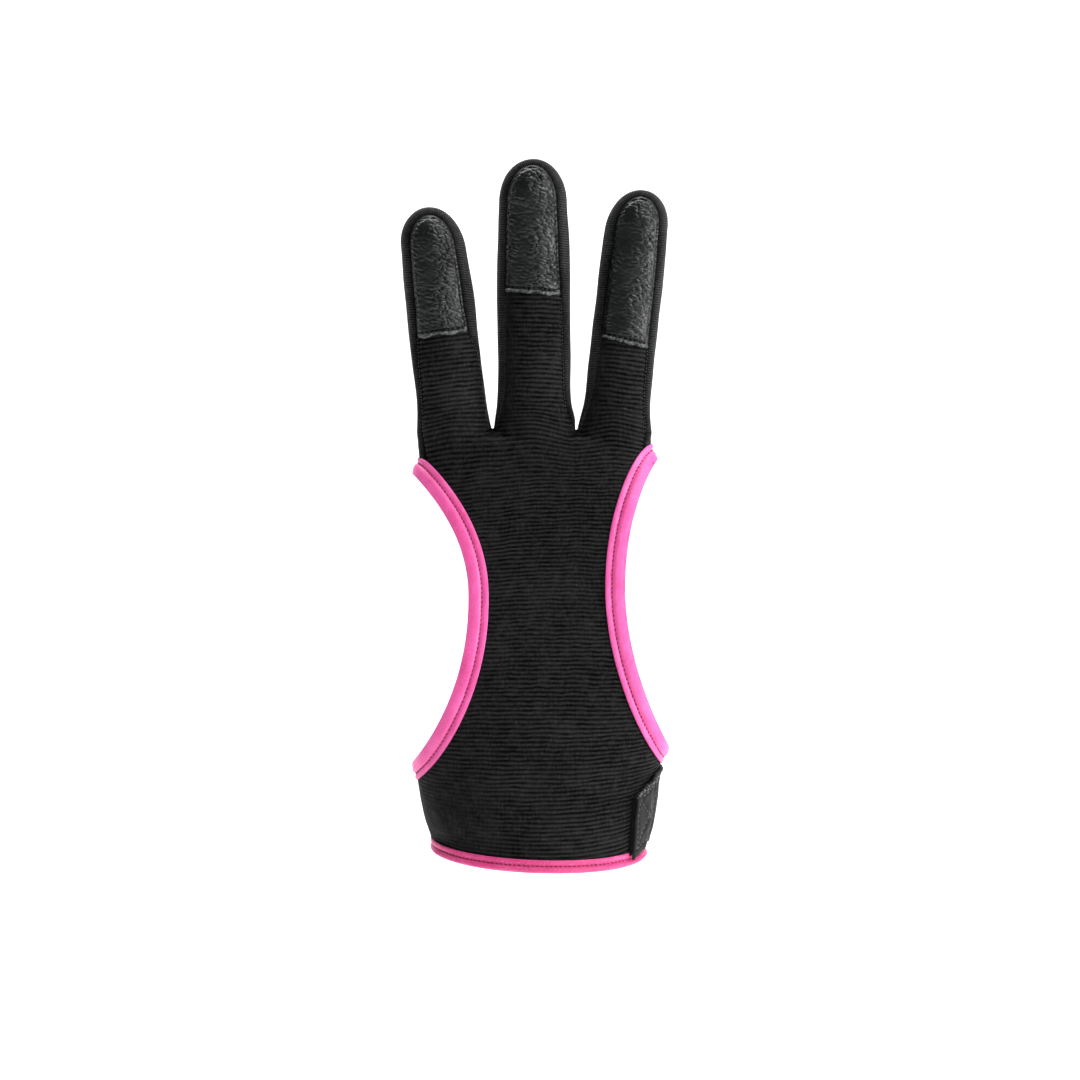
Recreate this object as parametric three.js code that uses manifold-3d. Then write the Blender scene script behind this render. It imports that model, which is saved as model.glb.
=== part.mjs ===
// A three-finger archery glove for the left hand, in the shape that it has when worn, fingers up.
// Units are millimetres. +Z runs from the wrist to the fingertips, -Y is the palm side and -X the
// thumb side. The origin is the centre of the wrist opening, where the hand goes in.
//
// Every cloth piece is cut from one hand-shaped form: a shell between two offsets of the form,
// trimmed by straight prisms whose outlines are the pattern lines of the glove.
import * as THREE from "three";
import { mergeVertices } from "three/addons/utils/BufferGeometryUtils.js";
import Module from "manifold-3d";

const wasm = await Module();
wasm.setup();

// Cloth, leather and tape
const clothWall = 1.2;
const leatherWall = 1.1;
const tapeWall = 0.8;
const seamGap = 0.3;

// The hand form, from the wrist opening to the web between the fingers
const webHeight = 119;
const wristWidth = 60.6;
const cuffTopWidth = 69.4;
const palmWidth = 84;
const knuckleWidth = 64.4;
const wristDepth = 39.5;
const palmDepth = 30;
const knuckleDepth = 24.6;
const hemTilt = 12; // degrees, palm side lower

// The fingers: how high each tip is above the wrist, and how the finger leans sideways from its
// base to its tip. baseFlare is how much wider it is at the web. The leather reaches that far down
// from the tip, and its lower edge is tilted by so many degrees.
const fingers = [
  { name: "index", tipHeight: 182.3, baseX: -23.9, tipX: -30.6, width: 18.7, baseFlare: 1.08,
    leather: 36.3, leatherTilt: 7 },
  { name: "middle", tipHeight: 195.7, baseX: -1.9, tipX: -2.4, width: 20.3, baseFlare: 1.15,
    leather: 38.3, leatherTilt: -5 },
  { name: "ring", tipHeight: 187, baseX: 20.2, tipX: 27.4, width: 18.1, baseFlare: 1.13,
    leather: 43.2, leatherTilt: -14 },
];
const fingerDepthShare = 0.93; // a finger's depth over its width
const tipRoundShare = 0.6; // height of the rounded tip over the finger's width
const fingerCurl = 5; // how far the highest tip bends towards the palm
const rimWidth = 2.8; // side cloth that shows beside the leather, from the front
const rimTop = 2; // side cloth that shows above the leather
const outerRimBase = 1.7; // side cloth that shows at an outer finger's base
const innerRimBase = 0.4; // and on the sides that face another finger
const webClearance = 1; // the palm panel stops this far below the web

// The two side openings. The edge runs from its waist, where the palm strap is narrowest, out to
// the side of the hand at its top and bottom.
const thumbOpening = { name: "thumb", side: -1, waistX: 19.3, waistHeight: 73, topHeight: 107,
  bottomHeight: 27.5, topPower: 1.75, bottomPower: 2.15 };
const littleOpening = { name: "little_finger", side: 1, waistX: 23.5, waistHeight: 75, topHeight: 110.5,
  bottomHeight: 33, topPower: 2.2, bottomPower: 1.95 };
const tapeWidth = 5.6;
const hemTapeWidth = 3.6;

// The closure strap comes from the back round the little finger's side of the wrist, and its free
// end sticks to the palm side with a patch of hook tape under it.
const strapWall = 1;
const strapWidth = 20;
const strapEndWidth = 16.6;
const strapEndX = 26.6;
const strapRootX = 3; // its sewn end, near the middle of the back
const strapEndHeight = 10; // middle of the strap at its free end
const strapSideHeight = 16.2; // where it passes the side of the wrist
const strapRootHeight = 20.5; // and on the back
const hookWall = 0.8;
const hookProud = 0.9; // the hook patch shows this far beyond the strap's free end
const hookMargin = 2.2; // and lies this far inside the strap's long edges
const hookSideMargin = 3; // and ends this far before the side of the wrist

// Facets
const palmRing = 26;
const fingerRing = 16;
const palmStep = 11.5; // mm between the palm form's rings
const palmTopRings = [0.92, 0.97, 0.995]; // shares of the web's height
const fingerRings = [-0.3, 0, 0.1, 0.22, 0.6, 1]; // shares of the way to the round tip
const tipTurns = [25, 47, 67, 84]; // degrees round the tip
const stripRings = [0.1, 0.3, 0.6, 1];
const archTurns = [27, 50, 70];
const curlRings = [0, 0.5, 0.8, 1.1];
const edgeSteps = 9; // points on each half of an opening's edge
const sharpestMitre = 0.5; // cosine, at a bend of an edge that is moved into the cloth

const FAR = 90; // well outside the glove
const BELOW = 14; // how far the form runs on below the wrist opening before the hem is cut

// Sections of the hand form. up is the height over the web's height. side is the half width, shift
// is how far the section's middle lies to the right, and palm and back are the depths on each side.
// square is the superellipse power. Between the cuff and the knuckles the sides are cut away by the
// openings, and the form is as wide as the bare hand there.
const handRows = [
  { up: -0.13, side: 0.5 * wristWidth, shift: 0.002 * cuffTopWidth,
    palm: 0.505 * wristDepth, back: 0.495 * wristDepth, square: 2.1 },
  { up: 0, side: 0.502 * wristWidth, shift: 0.002 * cuffTopWidth,
    palm: 0.505 * wristDepth, back: 0.49 * wristDepth, square: 2.1 },
  { up: 0.09, side: 0.448 * cuffTopWidth, shift: -0.014 * cuffTopWidth,
    palm: 0.515 * wristDepth, back: 0.46 * wristDepth, square: 2.15 },
  { up: 0.18, side: 0.477 * cuffTopWidth, shift: -0.014 * cuffTopWidth,
    palm: 0.52 * wristDepth, back: 0.435 * wristDepth, square: 2.2 },
  { up: 0.25, side: 0.5 * cuffTopWidth, shift: -0.002 * cuffTopWidth,
    palm: 0.515 * wristDepth, back: 0.42 * wristDepth, square: 2.3 },
  { up: 0.42, side: 0.475 * palmWidth, shift: 0,
    palm: 0.63 * palmDepth, back: 0.51 * palmDepth, square: 2.5 },
  { up: 0.62, side: 0.5 * palmWidth, shift: 0.004 * cuffTopWidth,
    palm: 0.54 * palmDepth, back: 0.47 * palmDepth, square: 2.6 },
  { up: 0.82, side: 0.46 * palmWidth, shift: -0.006 * cuffTopWidth,
    palm: 0.56 * knuckleDepth, back: 0.54 * knuckleDepth, square: 2.5 },
  { up: 0.9, side: 0.525 * knuckleWidth, shift: -0.016 * cuffTopWidth,
    palm: 0.53 * knuckleDepth, back: 0.515 * knuckleDepth, square: 2.4 },
  { up: 0.945, side: 0.5 * knuckleWidth, shift: -0.014 * cuffTopWidth,
    palm: 0.48 * knuckleDepth, back: 0.47 * knuckleDepth, square: 2.3 },
  { up: 0.98, side: 0.497 * knuckleWidth, shift: -0.02 * cuffTopWidth,
    palm: 0.37 * knuckleDepth, back: 0.36 * knuckleDepth, square: 2.2 },
  { up: 1, side: 0.485 * knuckleWidth, shift: -0.02 * cuffTopWidth,
    palm: 0.1 * knuckleDepth, back: 0.1 * knuckleDepth, square: 2.2 },
];

// A finger's half width along it, over its named half width. along is 0 at the web and 1 where the
// rounded tip begins.
const fingerRows = [
  { along: -0.4, wide: 0.98 },
  { along: 0, wide: 1 },
  { along: 0.15, wide: 1 },
  { along: 0.5, wide: 1 },
  { along: 0.8, wide: 0.985 },
  { along: 1, wide: 0.94 },
];
const flareReach = 0.22; // how far up the finger its flared base reaches

// A smooth curve through a table: the value of one column where another column is `at`.
function smooth(rows, key, at, column) {
  const last = rows.length - 1;
  const found = rows.findIndex((row) => row[key] > at) - 1;
  const i = found < -1 ? last - 1 : Math.max(0, Math.min(last - 1, found));
  const slope = (j) => {
    const before = rows[Math.max(0, j - 1)];
    const after = rows[Math.min(last, j + 1)];
    return (after[column] - before[column]) / (after[key] - before[key]);
  };
  const span = rows[i + 1][key] - rows[i][key];
  const t = THREE.MathUtils.clamp((at - rows[i][key]) / span, 0, 1);
  const rise = rows[i + 1][column] - rows[i][column];
  const a = slope(i) * span - rise;
  const b = rise - slope(i + 1) * span;
  return rows[i][column] + t * rise + t * (1 - t) * (a * (1 - t) + b * t);
}

const highestTip = Math.max(...fingers.map((finger) => finger.tipHeight));

// Where the form's middle plane is at a height: it bends towards the palm above the web
function middleY(z) {
  const share = Math.max(0, z - webHeight) / (highestTip - webHeight);
  return -fingerCurl * share * share;
}

function solidFrom(geometry) {
  geometry.deleteAttribute("normal");
  geometry.deleteAttribute("uv");
  const merged = mergeVertices(geometry, 1e-4);
  return new wasm.Manifold(
    new wasm.Mesh({
      numProp: 3,
      vertProperties: new Float32Array(merged.attributes.position.array),
      triVerts: new Uint32Array(merged.index.array),
    }),
  );
}

// A closed solid through rings of points, all with the same count, from the lowest to the highest
function loft(rings) {
  const count = rings[0].length;
  const points = rings.flat();
  const middle = (ring) =>
    ring.reduce((sum, point) => sum.add(point), new THREE.Vector3()).divideScalar(count);
  points.push(middle(rings[0]), middle(rings.at(-1)));
  const bottom = points.length - 2;
  const top = points.length - 1;
  const topRing = (rings.length - 1) * count;
  const triangles = [];
  for (let j = 0; j < count; j++) {
    const k = (j + 1) % count;
    for (let row = 0; row < rings.length - 1; row++) {
      const here = row * count;
      const above = here + count;
      triangles.push(here + j, here + k, above + k, here + j, above + k, above + j);
    }
    triangles.push(bottom, k, j, top, topRing + j, topRing + k);
  }
  const geometry = new THREE.BufferGeometry().setFromPoints(points).setIndex(triangles);
  return solidFrom(geometry);
}

function ring(count, centreX, centreY, side, palm, back, square, z) {
  const points = [];
  for (let k = 0; k < count; k++) {
    const angle = (2 * Math.PI * k) / count;
    const across = Math.cos(angle);
    const deep = Math.sin(angle);
    const power = 2 / square;
    points.push(
      new THREE.Vector3(
        centreX + side * Math.sign(across) * Math.abs(across) ** power,
        centreY + (deep > 0 ? back : palm) * Math.sign(deep) * Math.abs(deep) ** power,
        z,
      ),
    );
  }
  return points;
}

function palmForm(offset) {
  const closeFrom = palmTopRings[0] * webHeight;
  const heights = [];
  for (let z = -BELOW; z < closeFrom - palmStep / 2; z += palmStep) heights.push(z);
  heights.push(...palmTopRings.map((up) => up * webHeight));
  const rings = heights.map((z, i) => {
    const at = (column) => smooth(handRows, "up", z / webHeight, column);
    const closing = Math.max(0, (z - closeFrom) / (webHeight - closeFrom)) * offset;
    const opening = i === 0 && offset < 0 ? -clothWall : 0;
    return ring(palmRing, at("shift"), 0, at("side") + offset, at("palm") + offset,
      at("back") + offset, at("square"), z + closing + opening);
  });
  return loft(rings);
}

// The middle and the half sizes of a finger at a height
function fingerAt(finger, z) {
  const round = tipRoundShare * finger.width;
  const straight = finger.tipHeight - round - webHeight;
  const along = (z - webHeight) / straight;
  const lean = (z - webHeight) / (finger.tipHeight - webHeight);
  const flare = THREE.MathUtils.clamp(1 - along / flareReach, 0, 1);
  const wide = smooth(fingerRows, "along", Math.min(along, 1), "wide");
  const half = 0.5 * finger.width * (wide + (finger.baseFlare - 1) * flare * flare);
  return {
    x: finger.baseX + (finger.tipX - finger.baseX) * lean,
    y: middleY(z),
    half,
    deep: 0.5 * finger.width * wide * fingerDepthShare,
    roundStart: webHeight + straight,
    round,
  };
}

function fingerForm(finger, offset) {
  const { roundStart, round } = fingerAt(finger, webHeight);
  const rings = [];
  const add = (z, share) => {
    const at = fingerAt(finger, z);
    const side = (at.half + offset) * share;
    const deep = (at.deep + offset) * share;
    rings.push(ring(fingerRing, at.x, at.y, side, deep, deep, 2, z));
  };
  for (const up of fingerRings) add(webHeight + up * (roundStart - webHeight), 1);
  for (const degrees of tipTurns) {
    const turn = THREE.MathUtils.degToRad(degrees);
    add(roundStart + (round + offset) * Math.sin(turn), Math.cos(turn));
  }
  return loft(rings);
}

function form(offset) {
  return fingers.map((finger) => fingerForm(finger, offset)).reduce((a, b) => a.add(b), palmForm(offset));
}

// The space between two offsets of the form, open at the wrist
function shell(inner, outer) {
  return form(outer).subtract(form(inner));
}

// A prism through an outline seen from the palm side, whose points are (x, z)
function prismAlongY(points, low = -FAR, high = FAR) {
  const geometry = new THREE.ExtrudeGeometry(new THREE.Shape(points), {
    depth: high - low,
    bevelEnabled: false,
  });
  const turned = new THREE.Matrix4().makeBasis(
    new THREE.Vector3(1, 0, 0), new THREE.Vector3(0, 0, 1), new THREE.Vector3(0, -1, 0));
  geometry.applyMatrix4(turned).translate(0, high, 0);
  return solidFrom(geometry);
}

// A prism through an outline seen from the side, whose points are (y, z)
function prismAlongX(points) {
  const geometry = new THREE.ExtrudeGeometry(new THREE.Shape(points), {
    depth: 2 * FAR,
    bevelEnabled: false,
  });
  const turned = new THREE.Matrix4().makeBasis(
    new THREE.Vector3(0, 1, 0), new THREE.Vector3(0, 0, 1), new THREE.Vector3(1, 0, 0));
  geometry.applyMatrix4(turned).translate(-FAR, 0, 0);
  return solidFrom(geometry);
}

const xy = (x, y) => new THREE.Vector2(x, y);

// Everything above the hem's plane raised by `lift`
function aboveHem(lift) {
  const slope = Math.tan(THREE.MathUtils.degToRad(hemTilt));
  const top = highestTip + FAR;
  const edge = (y) => xy(y, y * slope + lift);
  return prismAlongX([edge(-FAR), edge(FAR), xy(FAR, top), xy(-FAR, top)]);
}

// Half the hand form's width at an opening's end, where its edge passes round the side
function sideAt(opening, height) {
  const at = (column) => smooth(handRows, "up", height / webHeight, column);
  return at("side") + opening.side * at("shift");
}

// An opening's edge from the palm side, from beyond the hand at its top to beyond it at its bottom,
// moved into the cloth by `inset`
function openingEdge(opening, inset) {
  const points = [];
  const half = (end, power, count) => {
    const reach = sideAt(opening, end) - opening.waistX;
    for (let k = 1; k <= count; k++) {
      const share = k / count;
      const x = opening.waistX + reach * share ** power;
      points.push(xy(opening.side * x, opening.waistHeight + (end - opening.waistHeight) * share));
    }
    points.push(xy(opening.side * FAR, end));
  };
  half(opening.topHeight, opening.topPower, edgeSteps);
  points.reverse();
  points.push(xy(opening.side * opening.waistX, opening.waistHeight));
  half(opening.bottomHeight, opening.bottomPower, edgeSteps);
  return points.map((point, i) => {
    const before = points[Math.max(0, i - 1)];
    const after = points[Math.min(points.length - 1, i + 1)];
    const run = after.clone().sub(before).normalize();
    const ahead = i < points.length - 1 ? after.clone().sub(point).normalize() : run;
    const into = xy(run.y, -run.x).multiplyScalar(opening.side);
    const mitre = Math.max(sharpestMitre, Math.abs(run.dot(ahead)));
    return point.clone().addScaledVector(into, inset / mitre);
  });
}

// The space of a side opening, grown into the cloth by `inset`
function openingSpace(opening, inset) {
  return prismAlongY(openingEdge(opening, inset));
}

// The half width of the palm panel's strip on one side of a finger, and where its arch ends
function stripSide(finger, side, z, grow) {
  const at = fingerAt(finger, z);
  const outer = (finger === fingers[0] && side < 0) || (finger === fingers.at(-1) && side > 0);
  const leatherEnd = finger.tipHeight - finger.leather;
  const down = THREE.MathUtils.clamp((leatherEnd - z) / (leatherEnd - webHeight), 0, 1);
  const rim = THREE.MathUtils.lerp(rimWidth, outer ? outerRimBase : innerRimBase, Math.sqrt(down));
  return at.half - rim + grow;
}

// A finger's strip from the palm side: its two side seams and the arch round its tip
function stripOutline(finger, grow) {
  const { roundStart } = fingerAt(finger, webHeight);
  const archTop = finger.tipHeight - rimTop + grow;
  const left = [];
  const right = [];
  const add = (z, share) => {
    const x = fingerAt(finger, z).x;
    left.push(xy(x - share * stripSide(finger, -1, z, grow), z));
    right.push(xy(x + share * stripSide(finger, 1, z, grow), z));
  };
  add(palmTopRings[0] * webHeight, 1);
  for (const up of stripRings) add(webHeight + up * (roundStart - webHeight), 1);
  for (const degrees of archTurns) {
    const turn = THREE.MathUtils.degToRad(degrees);
    add(roundStart + (archTop - roundStart) * Math.sin(turn), Math.cos(turn));
  }
  left.push(xy(fingerAt(finger, archTop).x, archTop));
  return [...left, ...right.reverse()];
}

// Everything on the palm side of the form's middle plane, moved back by `grow`
function palmHalf(grow) {
  const points = [xy(-FAR, -FAR), xy(grow, -FAR)];
  for (const up of curlRings) {
    const z = webHeight + up * (highestTip - webHeight);
    points.push(xy(middleY(z) + grow, z));
  }
  points.push(xy(-FAR, points.at(-1).y));
  return prismAlongX(points);
}

// Where the palm panel is: the whole palm half up to just below the web, and a strip up each finger
function palmRegion(grow) {
  const top = webHeight - webClearance + grow;
  const palm = prismAlongY([xy(-FAR, -FAR), xy(FAR, -FAR), xy(FAR, top), xy(-FAR, top)]);
  const strips = fingers.map((finger) => prismAlongY(stripOutline(finger, grow)));
  return strips.reduce((all, strip) => all.add(strip), palm).intersect(palmHalf(grow));
}

// The cloth shell with its two openings and its hem cut, each as far back from the tape's edge as
// the tape is thick there
const clothShell = shell(-clothWall, 0);
const clothShort = tapeWall + seamGap;
const cloth = clothShell
  .intersect(aboveHem(clothShort))
  .subtract(openingSpace(thumbOpening, clothShort))
  .subtract(openingSpace(littleOpening, clothShort));

// The two cloth panels meet at the seams, a seam's gap apart
const palmPanel = cloth.intersect(palmRegion(-seamGap / 2));
const backPanel = cloth.subtract(palmRegion(seamGap / 2));

// Folded tape: a band round an edge, with a slot for the cloth in it
const bandShell = shell(-clothWall - seamGap - tapeWall, seamGap + tapeWall).intersect(aboveHem(0));
const slotShell = shell(-clothWall - seamGap, seamGap);

function openingTape(opening) {
  const band = bandShell.subtract(openingSpace(opening, 0)).intersect(openingSpace(opening, tapeWidth));
  const slot = slotShell.subtract(openingSpace(opening, tapeWall));
  return band.subtract(slot);
}

function hemTape() {
  const band = bandShell.subtract(aboveHem(hemTapeWidth));
  return band.subtract(slotShell.intersect(aboveHem(tapeWall)));
}

// The leather lies on the palm panel, from the arch at the tip to its stitched lower edge
function leatherPatch(finger) {
  const end = finger.tipHeight - finger.leather;
  const middle = fingerAt(finger, end).x;
  const rise = FAR * Math.tan(THREE.MathUtils.degToRad(finger.leatherTilt));
  const above = prismAlongY([
    xy(middle - FAR, end - rise),
    xy(middle + FAR, end + rise),
    xy(middle + FAR, highestTip + FAR),
    xy(middle - FAR, highestTip + FAR),
  ]);
  return shell(seamGap, seamGap + leatherWall)
    .intersect(prismAlongY(stripOutline(finger, -seamGap / 2)))
    .intersect(palmHalf(-seamGap / 2))
    .intersect(above);
}

// The strap's outline from the palm side or from the back: a band from the side of the wrist to
// one of its ends, drawn in from its edges by `inset`
function strapOutline(endX, endHeight, endWidth, inset) {
  const sideX = wristWidth / 2;
  return [
    xy(endX, endHeight - endWidth / 2 + inset),
    xy(sideX, strapSideHeight - strapWidth / 2 + inset),
    xy(FAR, strapSideHeight - strapWidth / 2 + inset),
    xy(FAR, strapSideHeight + strapWidth / 2 - inset),
    xy(sideX, strapSideHeight + strapWidth / 2 - inset),
    xy(endX, endHeight + endWidth / 2 - inset),
  ];
}

// The hook patch's space on the palm side, grown by `grow` all round
function hookSpace(grow) {
  const endX = strapEndX - hookProud - grow;
  const outline = strapOutline(endX, strapEndHeight, strapEndWidth, hookMargin - grow);
  return prismAlongY(outline).intersect(palmHalf(grow - hookSideMargin));
}

function hookPatch() {
  return shell(seamGap, seamGap + hookWall)
    .intersect(hookSpace(0))
    .intersect(aboveHem(hemTapeWidth + seamGap));
}

// The strap lies on the cloth between two tapes, and steps up where it passes over the hook patch
function wristStrap() {
  const step = seamGap + hookWall;
  const palmPart = prismAlongY(strapOutline(strapEndX, strapEndHeight, strapEndWidth, 0), -FAR, 0);
  const backPart = prismAlongY(strapOutline(strapRootX, strapRootHeight, strapWidth, 0), 0, FAR);
  return shell(seamGap, seamGap + step + strapWall)
    .intersect(palmPart.add(backPart))
    .intersect(aboveHem(hemTapeWidth + seamGap))
    .subtract(openingSpace(littleOpening, tapeWidth + seamGap))
    .intersect(form(seamGap + strapWall).add(hookSpace(seamGap + strapWall)))
    .subtract(form(seamGap + step).intersect(hookSpace(seamGap)));
}

function meshOf(solid, name, material) {
  const { numProp, numVert, vertProperties, triVerts } = solid.getMesh();
  const points = new Float32Array(numVert * 3);
  for (let i = 0; i < numVert; i++) {
    points.set(vertProperties.subarray(i * numProp, i * numProp + 3), i * 3);
  }
  const geometry = new THREE.BufferGeometry();
  geometry.setAttribute("position", new THREE.BufferAttribute(points, 3));
  geometry.setIndex(new THREE.BufferAttribute(triVerts, 1));
  const mesh = new THREE.Mesh(geometry, material);
  mesh.name = name;
  return mesh;
}

const black = new THREE.MeshStandardMaterial({ color: 0x1b1b1c, roughness: 0.9, metalness: 0 });
const plainBlack = new THREE.MeshStandardMaterial({ color: 0x19191a, roughness: 0.85, metalness: 0 });
const leather = new THREE.MeshStandardMaterial({ color: 0x272b2b, roughness: 0.5, metalness: 0 });
const pink = new THREE.MeshStandardMaterial({ color: 0xff55a8, roughness: 0.6, metalness: 0 });
const strapBlack = new THREE.MeshStandardMaterial({ color: 0x2a2b2d, roughness: 0.55, metalness: 0 });

const glove = new THREE.Group();
glove.name = "archery_glove";
glove.add(meshOf(palmPanel, "palm_panel", black));
glove.add(meshOf(backPanel, "back_panel", plainBlack));
for (const finger of fingers) glove.add(meshOf(leatherPatch(finger), `${finger.name}_patch`, leather));
for (const opening of [thumbOpening, littleOpening]) {
  glove.add(meshOf(openingTape(opening), `${opening.name}_tape`, pink));
}
glove.add(meshOf(hemTape(), "hem_tape", pink));
glove.add(meshOf(hookPatch(), "hook_patch", plainBlack));
glove.add(meshOf(wristStrap(), "wrist_strap", strapBlack));

export default glove;
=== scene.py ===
"""The looks of a three-finger archery glove, over its solids from part.mjs, in the same frame.

Shapes are worked out in millimetres and turned into metres when a mesh is made. Every cloth piece
lies on one smooth hand form, given as a field that is 0 on the cloth's outer side.
"""

import math

import bmesh
import bpy
import numpy as np
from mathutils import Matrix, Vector


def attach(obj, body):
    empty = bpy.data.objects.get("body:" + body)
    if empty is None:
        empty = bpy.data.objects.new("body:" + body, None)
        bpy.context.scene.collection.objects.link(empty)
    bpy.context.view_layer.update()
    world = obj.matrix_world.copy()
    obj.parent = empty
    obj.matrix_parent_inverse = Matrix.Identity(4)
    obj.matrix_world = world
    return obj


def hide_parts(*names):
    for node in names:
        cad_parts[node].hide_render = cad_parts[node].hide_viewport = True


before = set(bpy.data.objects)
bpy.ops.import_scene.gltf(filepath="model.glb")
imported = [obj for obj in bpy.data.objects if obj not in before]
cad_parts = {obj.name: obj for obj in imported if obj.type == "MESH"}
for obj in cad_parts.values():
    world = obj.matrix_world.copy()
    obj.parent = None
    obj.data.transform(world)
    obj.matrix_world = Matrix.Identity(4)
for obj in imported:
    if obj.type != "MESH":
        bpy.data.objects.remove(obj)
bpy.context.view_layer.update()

MM = 0.001
rng = np.random.default_rng(7)

# The hand form, in millimetres
WEB = 119.0  # height of the web between the fingers
WEB_TOP = 119.6
WRIST_WIDTH = 60.6
CUFF_WIDTH = 69.4
PALM_WIDTH = 84.0
KNUCKLE_WIDTH = 64.4
WRIST_DEPTH = 39.5
PALM_DEPTH = 30.0
KNUCKLE_DEPTH = 24.6
HEM_TILT = math.tan(math.radians(12))
HEM_LEAN = -0.03  # the hem also rises a little to the thumb's side
HEM_RISE = 1.8  # the hem's fold lies this far above the frame's origin
HEM_FADE = 75.0  # height where the rib lines no longer follow the hem's tilt
FINGER_CURL = 5.0  # the highest fingertip leans this far to the palm side
DEPTH_SHARE = 0.93  # a finger's depth as a share of its width
TIP_ROUND = 0.6  # a fingertip's round height as a share of the finger's width
FLARE_REACH = 0.22  # a finger is wider at its foot, up to this share of its length
CLOTH_WALL = 1.2

# up is a share of WEB, shift of CUFF_WIDTH, side of the width, and palm and back of the depth
HAND_COLUMNS = ("up", "width", "side", "shift", "depth", "palm", "back", "square")
HAND_SECTIONS = (
    (-0.13, WRIST_WIDTH, 0.470, -0.002, WRIST_DEPTH, 0.505, 0.495, 2.1),
    (0.0, WRIST_WIDTH, 0.473, -0.002, WRIST_DEPTH, 0.505, 0.49, 2.1),
    (0.045, WRIST_WIDTH, 0.487, -0.006, WRIST_DEPTH, 0.51, 0.48, 2.1),
    (0.09, CUFF_WIDTH, 0.450, -0.012, WRIST_DEPTH, 0.515, 0.46, 2.15),
    (0.18, CUFF_WIDTH, 0.477, -0.014, WRIST_DEPTH, 0.52, 0.435, 2.2),
    (0.25, CUFF_WIDTH, 0.500, -0.002, WRIST_DEPTH, 0.515, 0.42, 2.3),
    (0.42, PALM_WIDTH, 0.475, 0.0, PALM_DEPTH, 0.63, 0.51, 2.5),
    (0.62, PALM_WIDTH, 0.500, 0.004, PALM_DEPTH, 0.54, 0.47, 2.6),
    (0.82, PALM_WIDTH, 0.460, -0.006, KNUCKLE_DEPTH, 0.56, 0.54, 2.5),
    (0.90, KNUCKLE_WIDTH, 0.525, -0.016, KNUCKLE_DEPTH, 0.53, 0.515, 2.4),
    (0.945, KNUCKLE_WIDTH, 0.500, -0.014, KNUCKLE_DEPTH, 0.48, 0.47, 2.3),
    (0.98, KNUCKLE_WIDTH, 0.497, -0.02, KNUCKLE_DEPTH, 0.37, 0.36, 2.2),
    (1.0, KNUCKLE_WIDTH, 0.485, -0.02, KNUCKLE_DEPTH, 0.1, 0.1, 2.2),
)
HAND_ROWS = [dict(zip(HAND_COLUMNS, section)) for section in HAND_SECTIONS]
for row in HAND_ROWS:
    row["side"] *= row["width"]
    row["palm"] *= row["depth"]
    row["back"] *= row["depth"]
FINGER_ROWS = [
    dict(along=-0.4, wide=0.98),
    dict(along=0.0, wide=1.0),
    dict(along=0.15, wide=1.0),
    dict(along=0.5, wide=1.0),
    dict(along=0.8, wide=0.99),
    dict(along=1.0, wide=0.945),
]
# seams says how deep the left and right seams look. left and right give the side cloth that shows
# beside the ribbed strip, at RIM_SHARES of the way from the web to the leather's lower edge, and top
# the cloth above the leather. grain is the strength of the leather's grain.
FINGERS = [
    dict(name="index", tip=181.9, base_x=-23.85, tip_x=-31.0, width=19.4, flare=1.08, leather=35.9, lean=7,
         seams=(1.0, 0.7),
         left=(1.5, 1.5, 1.7, 2.1, 2.4, 2.9), right=(0.0, 0.0, 0.0, 0.9, 2.3, 3.1), top=2.7, grain=1.0),
    dict(name="middle", tip=195.1, base_x=-1.5, tip_x=-2.0, width=20.5, flare=1.13, leather=37.7, lean=-5,
         seams=(0.25, 1.0),
         left=(0.0, 1.1, 1.9, 2.2, 2.4, 2.6), right=(0.0, 1.5, 2.1, 2.4, 2.7, 3.2), top=2.2, grain=1.0),
    dict(name="ring", tip=186.8, base_x=20.6, tip_x=28.1, width=18.5, flare=1.14, leather=43.0, lean=-14,
         seams=(0.25, 1.0),
         left=(0.0, 0.9, 1.8, 2.6, 3.0, 2.9), right=(1.6, 1.7, 2.0, 2.3, 2.5, 2.6), top=2.5, grain=0.7),
]
RIM_SHARES = (0.0, 0.12, 0.5, 0.85, 1.0, 1.25)
HIGHEST = max(f["tip"] for f in FINGERS)

THUMB = dict(name="thumb", side=-1, waist_x=19.7, waist=73.0,
             top=107.0, bottom=27.5, top_power=2.1, bottom_power=2.15)
LITTLE = dict(name="little_finger", side=1, waist_x=23.5, waist=75.0,
              top=110.5, bottom=32.0, top_power=2.2, bottom_power=1.85)
TAPE_WIDTH = 5.6
HEM_TAPE_WIDTH = 3.6
CLOTH_INSET = 1.1  # the cloth's cut edge lies this far inside the tape's fold
WEB_POINTS = (-13.25, 10.1)  # where the webs are, along x
LOW_WEB = 1.7  # the second web is this much lower
WEB_POINT_Y = -2.0  # each web's saddle runs from here
WEB_BACK_Y = 5.0  # back to here
LEVEL_FROM = 108.0  # above this height the form's front is found along y
BEND_FROM = 115.5  # above this height the rows bend over to the web's saddles
PIN_COLUMNS = 7  # a border that is moved takes this many columns with it


def table(rows, key, column, at):
    """A smooth curve through a table: one column's value where the key column is `at`."""
    xs = np.array([row[key] for row in rows])
    ys = np.array([row[column] for row in rows])
    return smooth(xs, ys, at)


def smooth(xs, ys, at):
    """A curve through points, with its slope at each from the two beside it."""
    slope = np.concatenate([
        [(ys[1] - ys[0]) / (xs[1] - xs[0])],
        (ys[2:] - ys[:-2]) / (xs[2:] - xs[:-2]),
        [(ys[-1] - ys[-2]) / (xs[-1] - xs[-2])],
    ])
    i = np.clip(np.searchsorted(xs, at, side="right") - 1, 0, len(xs) - 2)
    span = xs[i + 1] - xs[i]
    t = np.clip((at - xs[i]) / span, 0, 1)
    rise = ys[i + 1] - ys[i]
    a = slope[i] * span - rise
    b = rise - slope[i + 1] * span
    return ys[i] + t * rise + t * (1 - t) * (a * (1 - t) + b * t)


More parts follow.
